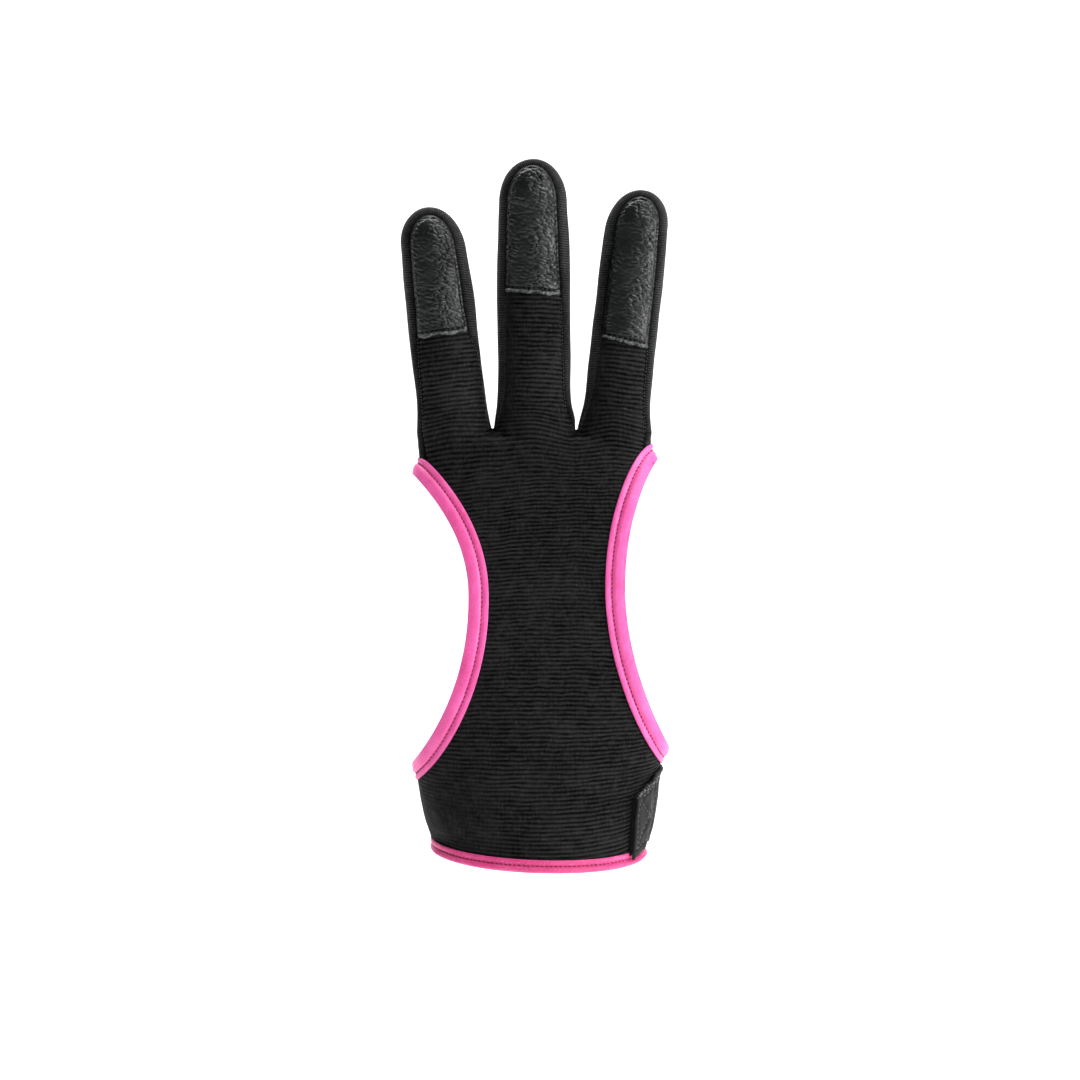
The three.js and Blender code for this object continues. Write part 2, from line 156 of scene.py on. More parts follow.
def step(low, high, at):
    """Rises smoothly from 0 at `low` to 1 at `high`."""
    t = np.clip((at - low) / (high - low), 0, 1)
    return t * t * (3 - 2 * t)


def hill(at, middle, reach):
    """1 at the middle, falling smoothly to 0 at `reach` on both sides."""
    return 1 - step(0, reach, np.abs(at - middle))


def between_knots(s, splits, knots):
    """Values along a row that pass through a knot at each split and run evenly between them."""
    out = 0.0
    for k in range(len(knots) - 1):
        share = np.clip((s - splits[k]) / (splits[k + 1] - splits[k]), 0, 1)
        out = np.where(s >= splits[k], knots[k] + (knots[k + 1] - knots[k]) * share, out)
    return out


def hand(column, z):
    """A measure of the hand's section at a height."""
    value = table(HAND_ROWS, "up", column, z / WEB)
    return value * CUFF_WIDTH if column == "shift" else value


def middle_y(z):
    """The fingers' middle line, which curls to the palm side."""
    share = np.maximum(0, z - WEB) / (HIGHEST - WEB)
    return -FINGER_CURL * share * share


def finger_round(f):
    """Where a finger's round tip starts, and its height."""
    height = TIP_ROUND * f["width"]
    return f["tip"] - height, height


def finger_at(f, z):
    """A finger's middle, x and y, and its half width and half depth at a height."""
    start, _ = finger_round(f)
    along = (z - WEB) / (start - WEB)
    lean = (z - WEB) / (f["tip"] - WEB)
    flare = np.clip(1 - along / FLARE_REACH, 0, 1)
    wide = table(FINGER_ROWS, "along", "wide", np.minimum(along, 1))
    half = 0.5 * f["width"] * (wide + (f["flare"] - 1) * flare * flare)
    deep = 0.5 * f["width"] * wide * DEPTH_SHARE
    return f["base_x"] + (f["tip_x"] - f["base_x"]) * lean, middle_y(z), half, deep


def meet(a, b, reach):
    """Smooth minimum of two fields."""
    h = np.maximum(reach - np.abs(a - b), 0) / reach
    return np.minimum(a, b) - h * h * reach / 4


def palm_field(p):
    """The field of the hand below the web."""
    x, y, z = p[..., 0], p[..., 1], p[..., 2]
    dx = x - hand("shift", z)
    deep = np.where(y < 0, hand("palm", z), hand("back", z))
    n = hand("square", z)
    g = ((np.abs(dx) / hand("side", z)) ** n + (np.abs(y) / deep) ** n + 1e-12) ** (1 / n)
    section = np.hypot(dx, y) * (1 - 1 / g)
    top = WEB_TOP - LOW_WEB * hill(x, WEB_POINTS[1], 7)
    return -meet(-section, -(z - top), 1.5)


def finger_field(f, p):
    """The field of one finger with its round tip."""
    x, y, half, deep = finger_at(f, p[..., 2])
    start, height = finger_round(f)
    dx, dy, dz = p[..., 0] - x, p[..., 1] - y, np.maximum(0, p[..., 2] - start)
    g = np.sqrt((dx / half) ** 2 + (dy / deep) ** 2 + (dz / height) ** 2 + 1e-12)
    return np.sqrt(dx * dx + dy * dy + dz * dz) * (1 - 1 / g)


def form_field(p, only=None):
    """The field of the whole form, or of the hand with one finger only."""
    parts = [finger_field(f, p) for f in FINGERS if only is None or f is only]
    fingers = parts[0]
    for part in parts[1:]:
        fingers = meet(fingers, part, 0.8)
    low = np.maximum(0, WEB - 22 - p[..., 2])  # the fingers end inside the palm
    return meet(palm_field(p), fingers + low, 1.2)


def gradient(p, only=None, eps=0.02):
    """The field's slope along x, y and z."""
    out = np.empty_like(p)
    for axis in range(3):
        shift = np.zeros(3)
        shift[axis] = eps
        out[..., axis] = (form_field(p + shift, only) - form_field(p - shift, only)) / (2 * eps)
    return out


def onto(p, d=0.0, only=None, steps=4, level=False):
    """Moves points onto the form's offset d. level=True keeps their heights."""
    p = p.copy()
    for _ in range(steps):
        g = gradient(p, only)
        size = np.linalg.norm(g, axis=-1, keepdims=True) + 1e-9
        off = form_field(p, only)[..., None] / size - d
        if level:
            g = g * np.array([1.0, 1.0, 0.0])
            flat = np.linalg.norm(g, axis=-1, keepdims=True) + 1e-9
            p -= np.clip(off * size / flat, -3, 3) * g / flat
        else:
            p -= np.clip(off, -3, 3) * g / size
    return p


def outward(p, only=None):
    """The direction away from the form, of length 1."""
    g = gradient(p, only)
    return g / (np.linalg.norm(g, axis=-1, keepdims=True) + 1e-9)


def outline(z):
    """The left and right silhouette of the form below the web."""
    left = hand("shift", z) - hand("side", z)
    right = hand("shift", z) + hand("side", z)
    near = step(100, 108, z)
    x, _, half, _ = finger_at(FINGERS[0], z)
    left = left + near * (np.minimum(left, x - half) - left)
    x, _, half, _ = finger_at(FINGERS[2], z)
    right = right + near * (np.maximum(right, x + half) - right)
    return left, right


def section_point(t, z):
    """The x and y of the hand's section at angle t, from the middle of its palm side."""
    a, c, n = hand("side", z), hand("shift", z), hand("square", z)
    deep = np.where(np.cos(t) > 0, hand("palm", z), hand("back", z))
    x = c + a * np.sign(np.sin(t)) * np.abs(np.sin(t)) ** (2 / n)
    y = -deep * np.sign(np.cos(t)) * np.abs(np.cos(t)) ** (2 / n)
    return x, y


def edge_x(opening, z):
    """The x of an opening's edge at a height, without its sign, and without limit past its ends."""
    end = np.where(z > opening["waist"], opening["top"], opening["bottom"])
    power = np.where(z > opening["waist"], opening["top_power"], opening["bottom_power"])
    share = (z - opening["waist"]) / (end - opening["waist"])
    side = hand("side", end) + opening["side"] * hand("shift", end)
    return opening["waist_x"] + (side - opening["waist_x"]) * np.abs(share) ** power


def inset_edge(opening, z):
    """The x of the cloth's cut edge beside an opening, which lies inside the tape's fold."""
    slope = edge_x(opening, z + 0.5) - edge_x(opening, z - 0.5)
    return edge_x(opening, z) - CLOTH_INSET * np.sqrt(1 + slope * slope)


def rim(f, side, z):
    """The side cloth that shows beside a finger's ribbed strip."""
    end = f["tip"] - f["leather"]
    share = (z - WEB) / (end - WEB)
    width = smooth(np.array(RIM_SHARES), np.array(f["left" if side < 0 else "right"]), share)
    return np.maximum(width, 0)


def seam_depth(f, side, z):
    """1 where the seam beside a finger shows as a groove, 0 where it lies on the silhouette."""
    beside_leather = step(-2, 3, z - (f["tip"] - f["leather"]))
    depth = f["seams"][0 if side < 0 else 1]
    return step(0.2, 1.4, rim(f, side, z)) * (depth + (1 - depth) * beside_leather)


def strip_x(f, side, z):
    """The x of the ribbed strip's left or right border on a finger."""
    x, _, half, _ = finger_at(f, z)
    return x + side * (half - rim(f, side, z))


def seam_x(side, z):
    """The x of the seam beside the outer finger, carried on below the web."""
    f = FINGERS[0] if side < 0 else FINGERS[2]
    left, right = outline(np.minimum(z, WEB))
    line = (left if side < 0 else right) - side * rim(f, side, np.maximum(z, WEB))
    return np.where(z < WEB, line, strip_x(f, side, z))


def pin_to_seam(p, side, low=0.0):
    """Moves a grid's border onto the seam beside an outer finger above the height `low`, and the
    columns next to it by less and less."""
    border = p[:, 0 if side < 0 else -1]
    target = border.copy()
    target[:, 0] = seam_x(side, border[:, 2])
    target = front_points(target)
    move = (target - border) * step(low, low + 3, border[:, 2:])
    fade = np.clip(1 - np.arange(p.shape[1]) / PIN_COLUMNS, 0, 1) ** 2
    fade = fade if side < 0 else fade[::-1]
    return p + move[:, None] * fade[None, :, None]


# Meshes from grids
class Shape:
    """Points and faces of one mesh, in millimetres."""

    def __init__(self):
        self.points = []
        self.faces = []
        self.tags = []
        self.painted_shades_and_raw_edges = []
        self.count = 0

    def add(self, points, painted_shade_and_raw_edge=0.0):
        """Adds points and returns their numbers, with their painted shade: 1 deep in a groove, below 0 on
        the raw leather edge.
        """
        points = np.asarray(points, float)
        self.painted_shades_and_raw_edges.append(np.broadcast_to(painted_shade_and_raw_edge, points.shape[:-1]).reshape(-1))
        ids = np.arange(self.count, self.count + points[..., 0].size).reshape(points.shape[:-1])
        self.points.append(points.reshape(-1, 3))
        self.count += ids.size
        return ids

    def quads(self, ids, tag=0):
        """Faces between the neighbours of a grid of point numbers."""
        faces = np.stack([ids[:-1, :-1], ids[:-1, 1:], ids[1:, 1:], ids[1:, :-1]], -1).reshape(-1, 4)
        self.face(faces, tag)

    def face(self, faces, tag=0):
        """Adds faces whose material is the piece's one of number `tag`."""
        for face_set in self.split(np.asarray(faces)):
            if len(face_set):
                self.faces.append(face_set)
                self.tags.append(np.full(len(face_set), tag))

    @staticmethod
    def split(faces):
        """Quads, and triangles where two neighbouring corners are the same point."""
        if faces.shape[1] == 3:
            one, two, three = faces.T
            return [faces[(one != two) & (two != three) & (one != three)]]
        same = [faces[:, k] == faces[:, (k + 1) % 4] for k in range(4)]
        many = sum(s.astype(int) for s in same)
        out = [faces[many == 0]]
        for k in range(4):
            some = faces[(many == 1) & same[k]]
            out.append(np.delete(some, k, axis=1))
        return out

    def zip(self, one, two, tag=0):
        """Triangles between two lines of point numbers that run side by side."""
        i = j = 0
        faces = []
        n, m = len(one) - 1, len(two) - 1
        while i < n or j < m:
            if j == m or (i < n and (i + 1) / n <= (j + 1) / m):
                faces.append((one[i], one[i + 1], two[j]))
                i += 1
            else:
                faces.append((one[i], two[j + 1], two[j]))
                j += 1
        self.face(np.array(faces), tag)

    def tube(self, rings, tag=0):
        """A tube through rings of points, closed at both ends."""
        ids = self.add(rings)
        ids = np.concatenate([ids, ids[:, :1]], axis=1)
        self.quads(ids, tag)
        for end in (0, -1):
            centre = self.add(np.mean(rings[end], axis=0))
            row = ids[end]
            fan = [(row[k], row[k + 1], int(centre)) for k in range(len(row) - 1)]
            self.face(np.array(fan), tag)

    def piece(self, name, materials, node=None):
        """Makes the mesh, in metres, in place of a node of the solids if one is given."""
        points = np.concatenate(self.points) * MM
        mesh = bpy.data.meshes.new(name)
        total = np.concatenate([np.full(len(f), f.shape[1]) for f in self.faces])
        starts = np.concatenate([[0], np.cumsum(total)[:-1]])
        loops = np.concatenate([f.reshape(-1) for f in self.faces])
        mesh.vertices.add(len(points))
        mesh.vertices.foreach_set("co", points.reshape(-1))
        mesh.loops.add(len(loops))
        mesh.loops.foreach_set("vertex_index", loops.astype(np.int32))
        mesh.polygons.add(len(total))
        mesh.polygons.foreach_set("loop_start", starts.astype(np.int32))
        mesh.polygons.foreach_set("loop_total", total.astype(np.int32))
        mesh.polygons.foreach_set("material_index", np.concatenate(self.tags).astype(np.int32))
        mesh.polygons.foreach_set("use_smooth", np.full(len(total), True))
        # a point attribute of painted shade in grooves, seams and webs; below 0, the leather's pale worn
        # edge
        painted_shade_and_raw_edge = mesh.attributes.new("painted_shade_and_raw_edge", "FLOAT", "POINT")
        painted_shade_and_raw_edge.data.foreach_set("value", np.concatenate(self.painted_shades_and_raw_edges).astype(np.float32))
        mesh.update()
        for material in materials:
            mesh.materials.append(material)
        obj = bpy.data.objects.new(name, mesh)
        bpy.context.scene.collection.objects.link(obj)
        set_outward(mesh)
        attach(obj, "root")
        if node:
            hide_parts(node)
        return obj


def set_outward(mesh):
    """Turns all faces outwards and drops points that no face uses."""
    work = bmesh.new()
    work.from_mesh(mesh)
    loose = [v for v in work.verts if not v.link_faces]
    bmesh.ops.delete(work, geom=loose, context="VERTS")
    bmesh.ops.recalc_face_normals(work, faces=work.faces)
    work.to_mesh(mesh)
    work.free()


def arc_length(line):
    """Distance along a line at each of its points."""
    return np.concatenate([[0], np.cumsum(np.linalg.norm(np.diff(line, axis=0), axis=1))])


def resample_loop(line, spacing):
    """Points at even distances along a closed line."""
    line = np.concatenate([line, line[:1]])
    along = arc_length(line)
    at = np.linspace(0, along[-1], int(round(along[-1] / spacing)) + 1)[:-1]
    return np.stack([np.interp(at, along, line[:, k]) for k in range(3)], axis=1)


def noise(p, size, seed, octaves=3):
    """Smooth random field from sums of waves, about -1 to 1."""
    waves = np.random.default_rng(seed)
    total = np.zeros(p.shape[:-1])
    for octave in range(octaves):
        scale = 2 * math.pi / (size / 2**octave)
        for _ in range(7):
            way = waves.normal(size=3)
            way *= scale * waves.uniform(0.6, 1.4) / np.linalg.norm(way)
            total += np.sin(p @ way + waves.uniform(0, 2 * math.pi)) / (7**0.5 * 1.6**octave)
    return total


def cells(u, v, seed):
    """Distance to the nearest and second nearest point of a jittered unit grid, and a cell's value."""
    jitter = np.random.default_rng(seed).uniform(0, 1, (64, 64, 3))
    iu, iv = np.floor(u).astype(int), np.floor(v).astype(int)
    first = np.full(u.shape, 9.0)
    second = np.full(u.shape, 9.0)
    value = np.zeros(u.shape)
    for du in (-1, 0, 1):
        for dv in (-1, 0, 1):
            j = jitter[(iu + du) % 64, (iv + dv) % 64]
            gap = np.hypot(iu + du + j[..., 0] - u, iv + dv + j[..., 1] - v)
            nearer = gap < first
            second = np.where(nearer, first, np.minimum(second, gap))
            value = np.where(nearer, j[..., 2], value)
            first = np.where(nearer, gap, first)
    return first, second, value


# The ribbed palm panel
RIB = 1.15  # pitch of the cross ribs on the palm
FINGER_RIB = 1.29  # and on the fingers
RIB_HEIGHT = 0.36
RIB_PARTS = 5  # rows of points to a rib
PLAIN_PITCH = 2.3  # pitch of the rows on the inner side
PLAIN_ROWS = 9  # rows under the leather, above the ribs
# How far the rib lines rise above their own height, at places across the glove
RIB_X = np.array([-34.0, -24.0, -13.7, -2.0, 9.8, 20.0, 31.0])
RIB_LINES = [
    dict(height=-6, rise=(0.0, 0.0, 0.0, 0.0, 0.1, 0.7, 2.4)),
    dict(height=12, rise=(0.2, 0.0, 0.0, 0.0, 0.2, 0.9, 2.4)),
    dict(height=30, rise=(-0.4, -0.2, 0.0, 0.1, 0.1, 0.2, 0.6)),
    dict(height=55, rise=(-0.9, -0.6, -0.3, 0.0, 0.0, -0.3, -0.8)),
    dict(height=80, rise=(-2.2, -1.6, -0.8, 0.0, 0.2, -0.1, -0.6)),
    dict(height=100, rise=(-3.4, -2.4, -1.3, -0.2, 0.1, -0.1, -0.6)),
    dict(height=110, rise=(-2.9, -1.8, -0.9, 0.1, -0.7, -0.2, -1.0)),
    dict(height=119, rise=(-1.0, 0.9, 0.85, 1.5, -0.9, 0.9, -1.2)),
]
FINGER_SLOPES = dict(index=0.12, middle=-0.03, ring=-0.11)  # the ribs' slope across each finger
PALM_COLUMNS = (16, 20, 16)  # across the palm: index, middle and ring part


def rib_rise(x, height):
    """How far a rib line has risen at x, from the table above."""
    rows = np.array([row["rise"] for row in RIB_LINES])
    heights = np.array([row["height"] for row in RIB_LINES])
    by_x = np.stack([smooth(heights, rows[:, k], height) for k in range(len(RIB_X))], axis=-1)
    i = np.clip(np.searchsorted(RIB_X, x, side="right") - 1, 0, len(RIB_X) - 2)
    t = np.clip((x - RIB_X[i]) / (RIB_X[i + 1] - RIB_X[i]), 0, 1)
    t = t * t * (3 - 2 * t) * 0.5 + t * 0.5
    low = np.take_along_axis(by_x, i[..., None], -1)[..., 0]
    high = np.take_along_axis(by_x, (i + 1)[..., None], -1)[..., 0]
    return low + (high - low) * t


def rib_height(x, y, height):
    """The z of the rib line of a height: with its rise, and level with the hem low down."""
    tilt = HEM_TILT * (1 - step(0, HEM_FADE, height))
    lean = HEM_LEAN * (1 - step(0, 20, height))
    return height + rib_rise(x, height) + tilt * y + lean * x


def panel_edge(side, z):
    """The palm panel's border: an opening's edge, the seam above it, and the side below it."""
    opening = THUMB if side < 0 else LITTLE
    left, right = outline(z)
    limit = np.where(z < opening["waist"], left if side < 0 else right, seam_x(side, z))
    return side * np.minimum(inset_edge(opening, z), side * limit)


def palm_rows(heights):
    """Points on the form for a row of the palm panel at each height."""
    n = sum(PALM_COLUMNS)
    s = np.linspace(0, 1, n + 1)[None, :]
    height = np.asarray(heights, float)[:, None] + 0 * s
    z = height.copy()
    splits = np.cumsum((0,) + PALM_COLUMNS) / n
    upper = step(92, 116, height)
    for _ in range(5):
        left, right = outline(z)
        c, a = (left + right) / 2, (right - left) / 2
        ends = []
        for side, at in ((-1, slice(0, 1)), (1, slice(-1, None))):
            x = panel_edge(side, z[:, at])
            ends.append((x, np.arcsin(np.clip((x - c[:, at]) / a[:, at], -1, 1))))
        (xl, tl), (xr, tr) = ends
        round_x = c + a * np.sin(tl + (tr - tl) * s)
        flat_x = between_knots(s, splits, (xl, *WEB_POINTS, xr))
        x = round_x * (1 - upper) + flat_x * upper
        u = np.clip(np.abs(x - c) / a, 0, 1)
        power = hand("square", z)
        y = -hand("palm", z) * (1 - u**power + 1e-9) ** (1 / power)
        p = onto(np.stack([x, y, z], -1), steps=2, level=True)
        p[..., 1] = np.minimum(p[..., 1], 0)
        z = rib_height(p[..., 0], p[..., 1], height)
    p[..., 2] = z
    high = height[:, 0] > LEVEL_FROM
    p[high] = front_points(p[high])
    return p


def front_points(p):
    """Moves points along y to the form's front, and no further back than the webs' saddles."""
    p = p.copy()
    front, back = np.full(p.shape[:-1], -26.0), np.full(p.shape[:-1], WEB_POINT_Y)
    for _ in range(24):
        p[..., 1] = (front + back) / 2
        inside = form_field(p) < 0
        back = np.where(inside, p[..., 1], back)
        front = np.where(inside, front, p[..., 1])
    return p


def web_row(row, columns, face):
    """The row through the webs: over each finger's front or back, and down to the saddles."""
    for k, f in enumerate(FINGERS):
        at = slice(columns[k], columns[k + 1] + 1)
        ends = (row[columns[k]].copy(), row[columns[k + 1]].copy())
        x, y, half, deep = finger_at(f, np.full(1, WEB))
        line = row[at]
        u = np.clip((line[:, 0] - x) / half, -1, 1)
        line[:, 1] = y + face * deep * np.sqrt(1 - u * u)
        line = onto(line, only=f, steps=4)
        share = np.linspace(0, 1, len(line))[:, None]
        fix0 = (ends[0] - line[0]) if k > 0 else np.zeros(3)
        fix1 = (ends[1] - line[-1]) if k < 2 else np.zeros(3)
        row[at] = line + fix0 * np.clip(1 - 5 * share, 0, 1) ** 2 + fix1 * np.clip(5 * share - 4, 0, 1) ** 2
    return row


def bend_to_web(p, start, near):
    """Bends the rows from `start` up so that they end on the last row, where near is above 0."""
    count = len(p) - 1 - start
    t = (np.arange(count + 1) / count)[:, None, None]
    first, last = p[start], p[-1].copy()
    corner = first.copy()
    corner[:, 2] = last[:, 2] - 0.25 * (last[:, 2] - first[:, 2])
    corner[:, 0] = (first[:, 0] + last[:, 0]) / 2
    curve = (1 - t) ** 2 * first + 2 * t * (1 - t) * corner + t**2 * last
    even = p[start:].copy()
    mix = step(0, 0.5, t) * near[None, :, None]
    even[-1] = last
    curve = onto(even * (1 - mix) + curve * mix, steps=6)
    ends = step(0, 2, np.minimum(np.arange(p.shape[1]), np.arange(p.shape[1])[::-1]))[None, :, None]
    curve = p[start:] * (1 - ends) + curve * ends
    curve[-1] = last
    p[start:] = curve
    return p


def web_line(x, ys):
    """Points along the saddle between two fingers, found by bisection along z."""
    p = np.stack([np.full(len(ys), x), np.asarray(ys, float), np.full(len(ys), 0.0)], -1)
    low, high = np.full(len(ys), 105.0), np.full(len(ys), 128.0)
    for _ in range(30):
        p[:, 2] = (low + high) / 2
        inside = form_field(p) < 0
        low = np.where(inside, p[:, 2], low)
        high = np.where(inside, high, p[:, 2])
    return p


def strip_rows(f, first, heights, turn):
    """Rows of a finger's strip above the web row, out from angle turn[0] to turn[1] round it."""
    n = first.shape[0]
    s = np.linspace(0, 1, n)[None, :]
    height = np.asarray(heights, float)[:, None] + 0 * s
    away = height - WEB
    shape = first[None, :, :] + 0 * height[..., None]
    x0, _, _, _ = finger_at(f, height)
    base_x, _, _, _ = finger_at(f, np.full(1, WEB))
    z = height.copy()
    own = step(0, 9, away)
    for _ in range(4):
        x, y, half, deep = finger_at(f, z)
        t0, t1 = turn[0](z[:, :1]), turn[1](z[:, -1:])
        t = t0 + (t1 - t0) * s
        tube = np.stack([x + half * np.sin(t), y - deep * np.cos(t), z], -1)
        lifted = shape.copy()
        lifted[..., 0] += x0 - base_x
        lifted[..., 2] = z
        p = lifted * (1 - own[..., None]) + tube * own[..., None]
        flat = FINGER_SLOPES[f["name"]] * (p[..., 0] - x)
        web_rise = first[None, :, 2] - WEB
        z = height + web_rise * (1 - own) + flat * own
    p[..., 2] = z
    return onto(p, only=f, steps=4)


def front_turn(f, side):
    """The angle round a finger of the seam beside it, from the middle of its palm side."""

    def turn(z):
        _, _, half, _ = finger_at(f, z)
        return side * np.arcsin(np.clip(1 - rim(f, side, z) / half, 0, 1))

    return turn


def rib_profile(phase):
    """A rounded rib with a narrow groove beside it: 0 in the groove, 1 on the crown."""
    t = np.abs(2 * (phase % 1.0) - 1)
    return 1 - t**1.8


def row_edges(p):
    """Distance of each point from both ends of its row."""
    gaps = np.linalg.norm(np.diff(p, axis=1), axis=-1)
    along = np.concatenate([np.zeros((len(p), 1)), np.cumsum(gaps, axis=1)], axis=1)
    return along, along[:, -1:] - along


def tip_fan(f, count, columns, pole_turn, d=0.0):
    """Rows round a finger's tip from its right side to its left, each from the seam to the pole."""
    start, height = finger_round(f)
    _, _, half, deep = (np.asarray(v, float) for v in finger_at(f, np.array(start)))
    b = np.linspace(0, math.pi, count + 1)[:, None]
    reach = 1 / np.sqrt((np.cos(b) / half) ** 2 + (np.sin(b) / height) ** 2)
    side = np.where(b < math.pi / 2, rim(f, 1, start), rim(f, -1, start))
    beside = f["top"] + (side - f["top"]) * np.abs(np.cos(b)) ** 1.5
    first = np.arcsin(1 - beside / reach)
    s = np.linspace(0, 1, columns + 1)[None, :]
    turn = first + (pole_turn - first) * s
    z = start + height * np.sin(b) * np.sin(turn)
    x, y, _, _ = finger_at(f, z)
    p = np.stack([x + half * np.cos(b) * np.sin(turn), y - deep * np.cos(turn), z], -1)
    return onto(p, d, only=f, steps=2)


def pulled_flat(p):
    """Where the ribs are pulled flat, from 0 to 1: on the cuff, and on two fingers' left flank."""
    flat = 0.95 * hill(np.hypot((p[..., 0] + 28) / 1.35, p[..., 2] - 12), 0, 20)
    for f in FINGERS[1:]:
        x, _, half, _ = finger_at(f, p[..., 2])
        share = (p[..., 0] - x) / half
        flank = step(-0.35, -0.72, share) * step(1.3, 1.1, np.abs(share))
        flat = np.maximum(flat, 0.75 * flank * step(WEB - 2, WEB + 8, p[..., 2]))
    return flat


def waver(p, weight):
    """The ribs' small waves up and down, none at a row's ends."""
    near_end = np.minimum(*row_edges(p))
    out = p.copy()
    out[..., 2] += 0.11 * noise(p * np.array([1.0, 1.0, 1.6]), 11, 41, 3) * step(0.5, 4, near_end) * weight
    return out


def at_seams(seams, profile):
    """The greater of a profile's values at the two borders; seams holds (distance, depth) pairs."""
    (left, left_depth), (right, right_depth) = seams
    return np.maximum(profile(left) * left_depth, profile(right) * right_depth)


def palm_painted_shade(p, phase, seams):
    """Painted shade: between two ribs, in the seam at the panel's border and behind the webs, and even
    where the ribs are pulled flat.
    """
    uneven = 0.92 + 0.16 * noise(p, 3.5, 33, 2) + 0.10 * noise(p * np.array([1.0, 1.0, 0.4]), 1.4, 35, 1)
    # where the ribs are pulled flat, the grooves' painted shade is spread as an even mid tone
    groove = ((1 - rib_profile(phase)) ** 0.72 * (1 - pulled_flat(p)) + 0.45 * pulled_flat(p)) * uneven
    seam = at_seams(seams, lambda d: 1 - step(0.15, 0.75, d))
    # painted shade deep behind the webs, between the fingers
    behind = 0.8 * step(-7.5, -3.5, p[..., 1])
    for x in WEB_POINTS:
        groove = np.maximum(groove, behind * hill(np.hypot(p[..., 0] - x, p[..., 2] - WEB), 0, 3.2))
    return np.clip(np.maximum(groove, seam), 0, 1)


def palm_lift(p, phase, seams):
    """How far the palm cloth stands out: its ribs, broad waves and the dip at its borders."""
    worn = pulled_flat(p)
    ribs = RIB_HEIGHT * (1 - worn) * (rib_profile(phase) - 0.6)
    ribs = ribs * (1 + 0.22 * noise(p, 5, 3, 3))
    waves = 0.10 * noise(p, 26, 5, 2) + 0.3 * worn * noise(p, 15, 11, 1)
    return ribs + waves - 0.4 * at_seams(seams, lambda d: 1 - step(0, 0.9, d))


def build_palm(shape, ribbed):
    """The panel's outer side with its ribs, or its plain inner side. Returns its border lines."""
    parts = RIB_PARTS if ribbed else 1
    pitch = RIB if ribbed else PLAIN_PITCH
    low = HEM_RISE + CLOTH_INSET
    count = int(round((WEB - low) / pitch)) * parts
    heights = np.linspace(low, WEB, count + 1)
    phase = np.arange(count + 1)[:, None] / parts + 0.5
    p = palm_rows(heights)
    columns = np.cumsum((0,) + PALM_COLUMNS)
    for k, x in enumerate(WEB_POINTS):
        p[-1, columns[k + 1]] = web_line(x, [WEB_POINT_Y])[0]
    p[-1] = web_row(p[-1], columns, -1)
    number = np.arange(p.shape[1])
    near = np.maximum(hill(number, columns[1], 5), hill(number, columns[2], 5))
    p = bend_to_web(p, int(np.searchsorted(heights, BEND_FROM)), near)
    for side, opening in ((-1, THUMB), (1, LITTLE)):
        p = pin_to_seam(p, side, opening["top"] + 1)
    if ribbed:
        p = waver(p, step(4, 10, p[..., 2]) * (1 - step(109, 116, p[..., 2])))
    depth = step(104, 112, p[..., 2])
    seams = [(edge, depth) for edge in row_edges(p)]
    n = outward(p)
    if ribbed:
        ids = shape.add(p + n * palm_lift(p, phase, seams)[..., None], palm_painted_shade(p, phase, seams))
    else:
        ids = shape.add(p - n * CLOTH_WALL)
    shape.quads(ids)
    lines = {"bottom": ids[0], "left": ids[:, 0], "right": ids[:, -1]}
    for k, f in enumerate(FINGERS):
        first = p[-1, columns[k]:columns[k + 1] + 1]
        end = f["tip"] - f["leather"]
        start, _ = finger_round(f)
        ribs = int(round((end + 3 - WEB) / FINGER_RIB))
        cover = WEB + ribs * FINGER_RIB
        fine = WEB + np.arange(1, ribs * parts + 1) * FINGER_RIB / parts
        plain = np.linspace(cover, start, PLAIN_ROWS + 1)[1:]
        rows = strip_rows(f, first, np.concatenate([fine, plain]), (front_turn(f, -1), front_turn(f, 1)))
        rows = pin_to_seam(rows, k - 1) if k != 1 else rows
        rows = waver(rows, step(2, 9, rows[..., 2] - WEB)) if ribbed else rows
        seams = [(edge, seam_depth(f, side, rows[..., 2])) for edge, side in zip(row_edges(rows), (-1, 1))]
        row_phase = np.arange(1, len(fine) + 1) / parts + 0.5
        row_phase = np.concatenate([row_phase, np.zeros(len(plain))])[:, None]
        under = np.concatenate([np.ones(len(fine)), np.zeros(len(plain))])[:, None]
        n = outward(rows, f)
        painted_shade_and_raw_edge = 0.0
        if ribbed:
            lift = palm_lift(rows, row_phase, seams) * under - 0.4 * (1 - under)
            painted_shade_and_raw_edge = palm_painted_shade(rows, row_phase, seams)
            rows = rows + n * lift[..., None]
        else:
            rows = rows - n * CLOTH_WALL
        row_ids = np.concatenate([ids[-1:, columns[k]:columns[k + 1] + 1], shape.add(rows, painted_shade_and_raw_edge)])
        shape.quads(row_ids)
        half = PALM_COLUMNS[k] // 2
        cap = tip_fan(f, 14, half, 0.0, -0.4 if ribbed else -CLOTH_WALL)
        cap_ids = cap_faces(row_ids[-1], shape.add(cap[1:-1, :-1]))
        shape.quads(cap_ids)
        lines[f["name"]] = finger_border(row_ids, cap_ids)
    return lines


def cap_faces(last, inner):
    """The rows of a tip's fan, between the two halves of the last row below it. All of them end at
    the pole, which is that row's middle point."""
    half = (len(last) - 1) // 2
    return np.concatenate([
        last[::-1][None, :half + 1],
        np.concatenate([inner, np.full((len(inner), 1), last[half])], axis=1),
        last[None, :half + 1],
    ])


def borders(ids):
    """The four border lines of a grid of point numbers."""
    return ids[0], ids[-1], ids[:, 0], ids[:, -1]


def finger_border(row_ids, cap_ids):
    """A finger's seam line: up its left side, round the tip and down its right side."""
    return np.concatenate([row_ids[:, 0], cap_ids[::-1, 0][1:-1], row_ids[::-1, -1]])


def close_border(shape, outer, inner):
    """Joins the outer and inner side of a cloth all round."""
    for name in outer:
        shape.zip(outer[name], inner[name])


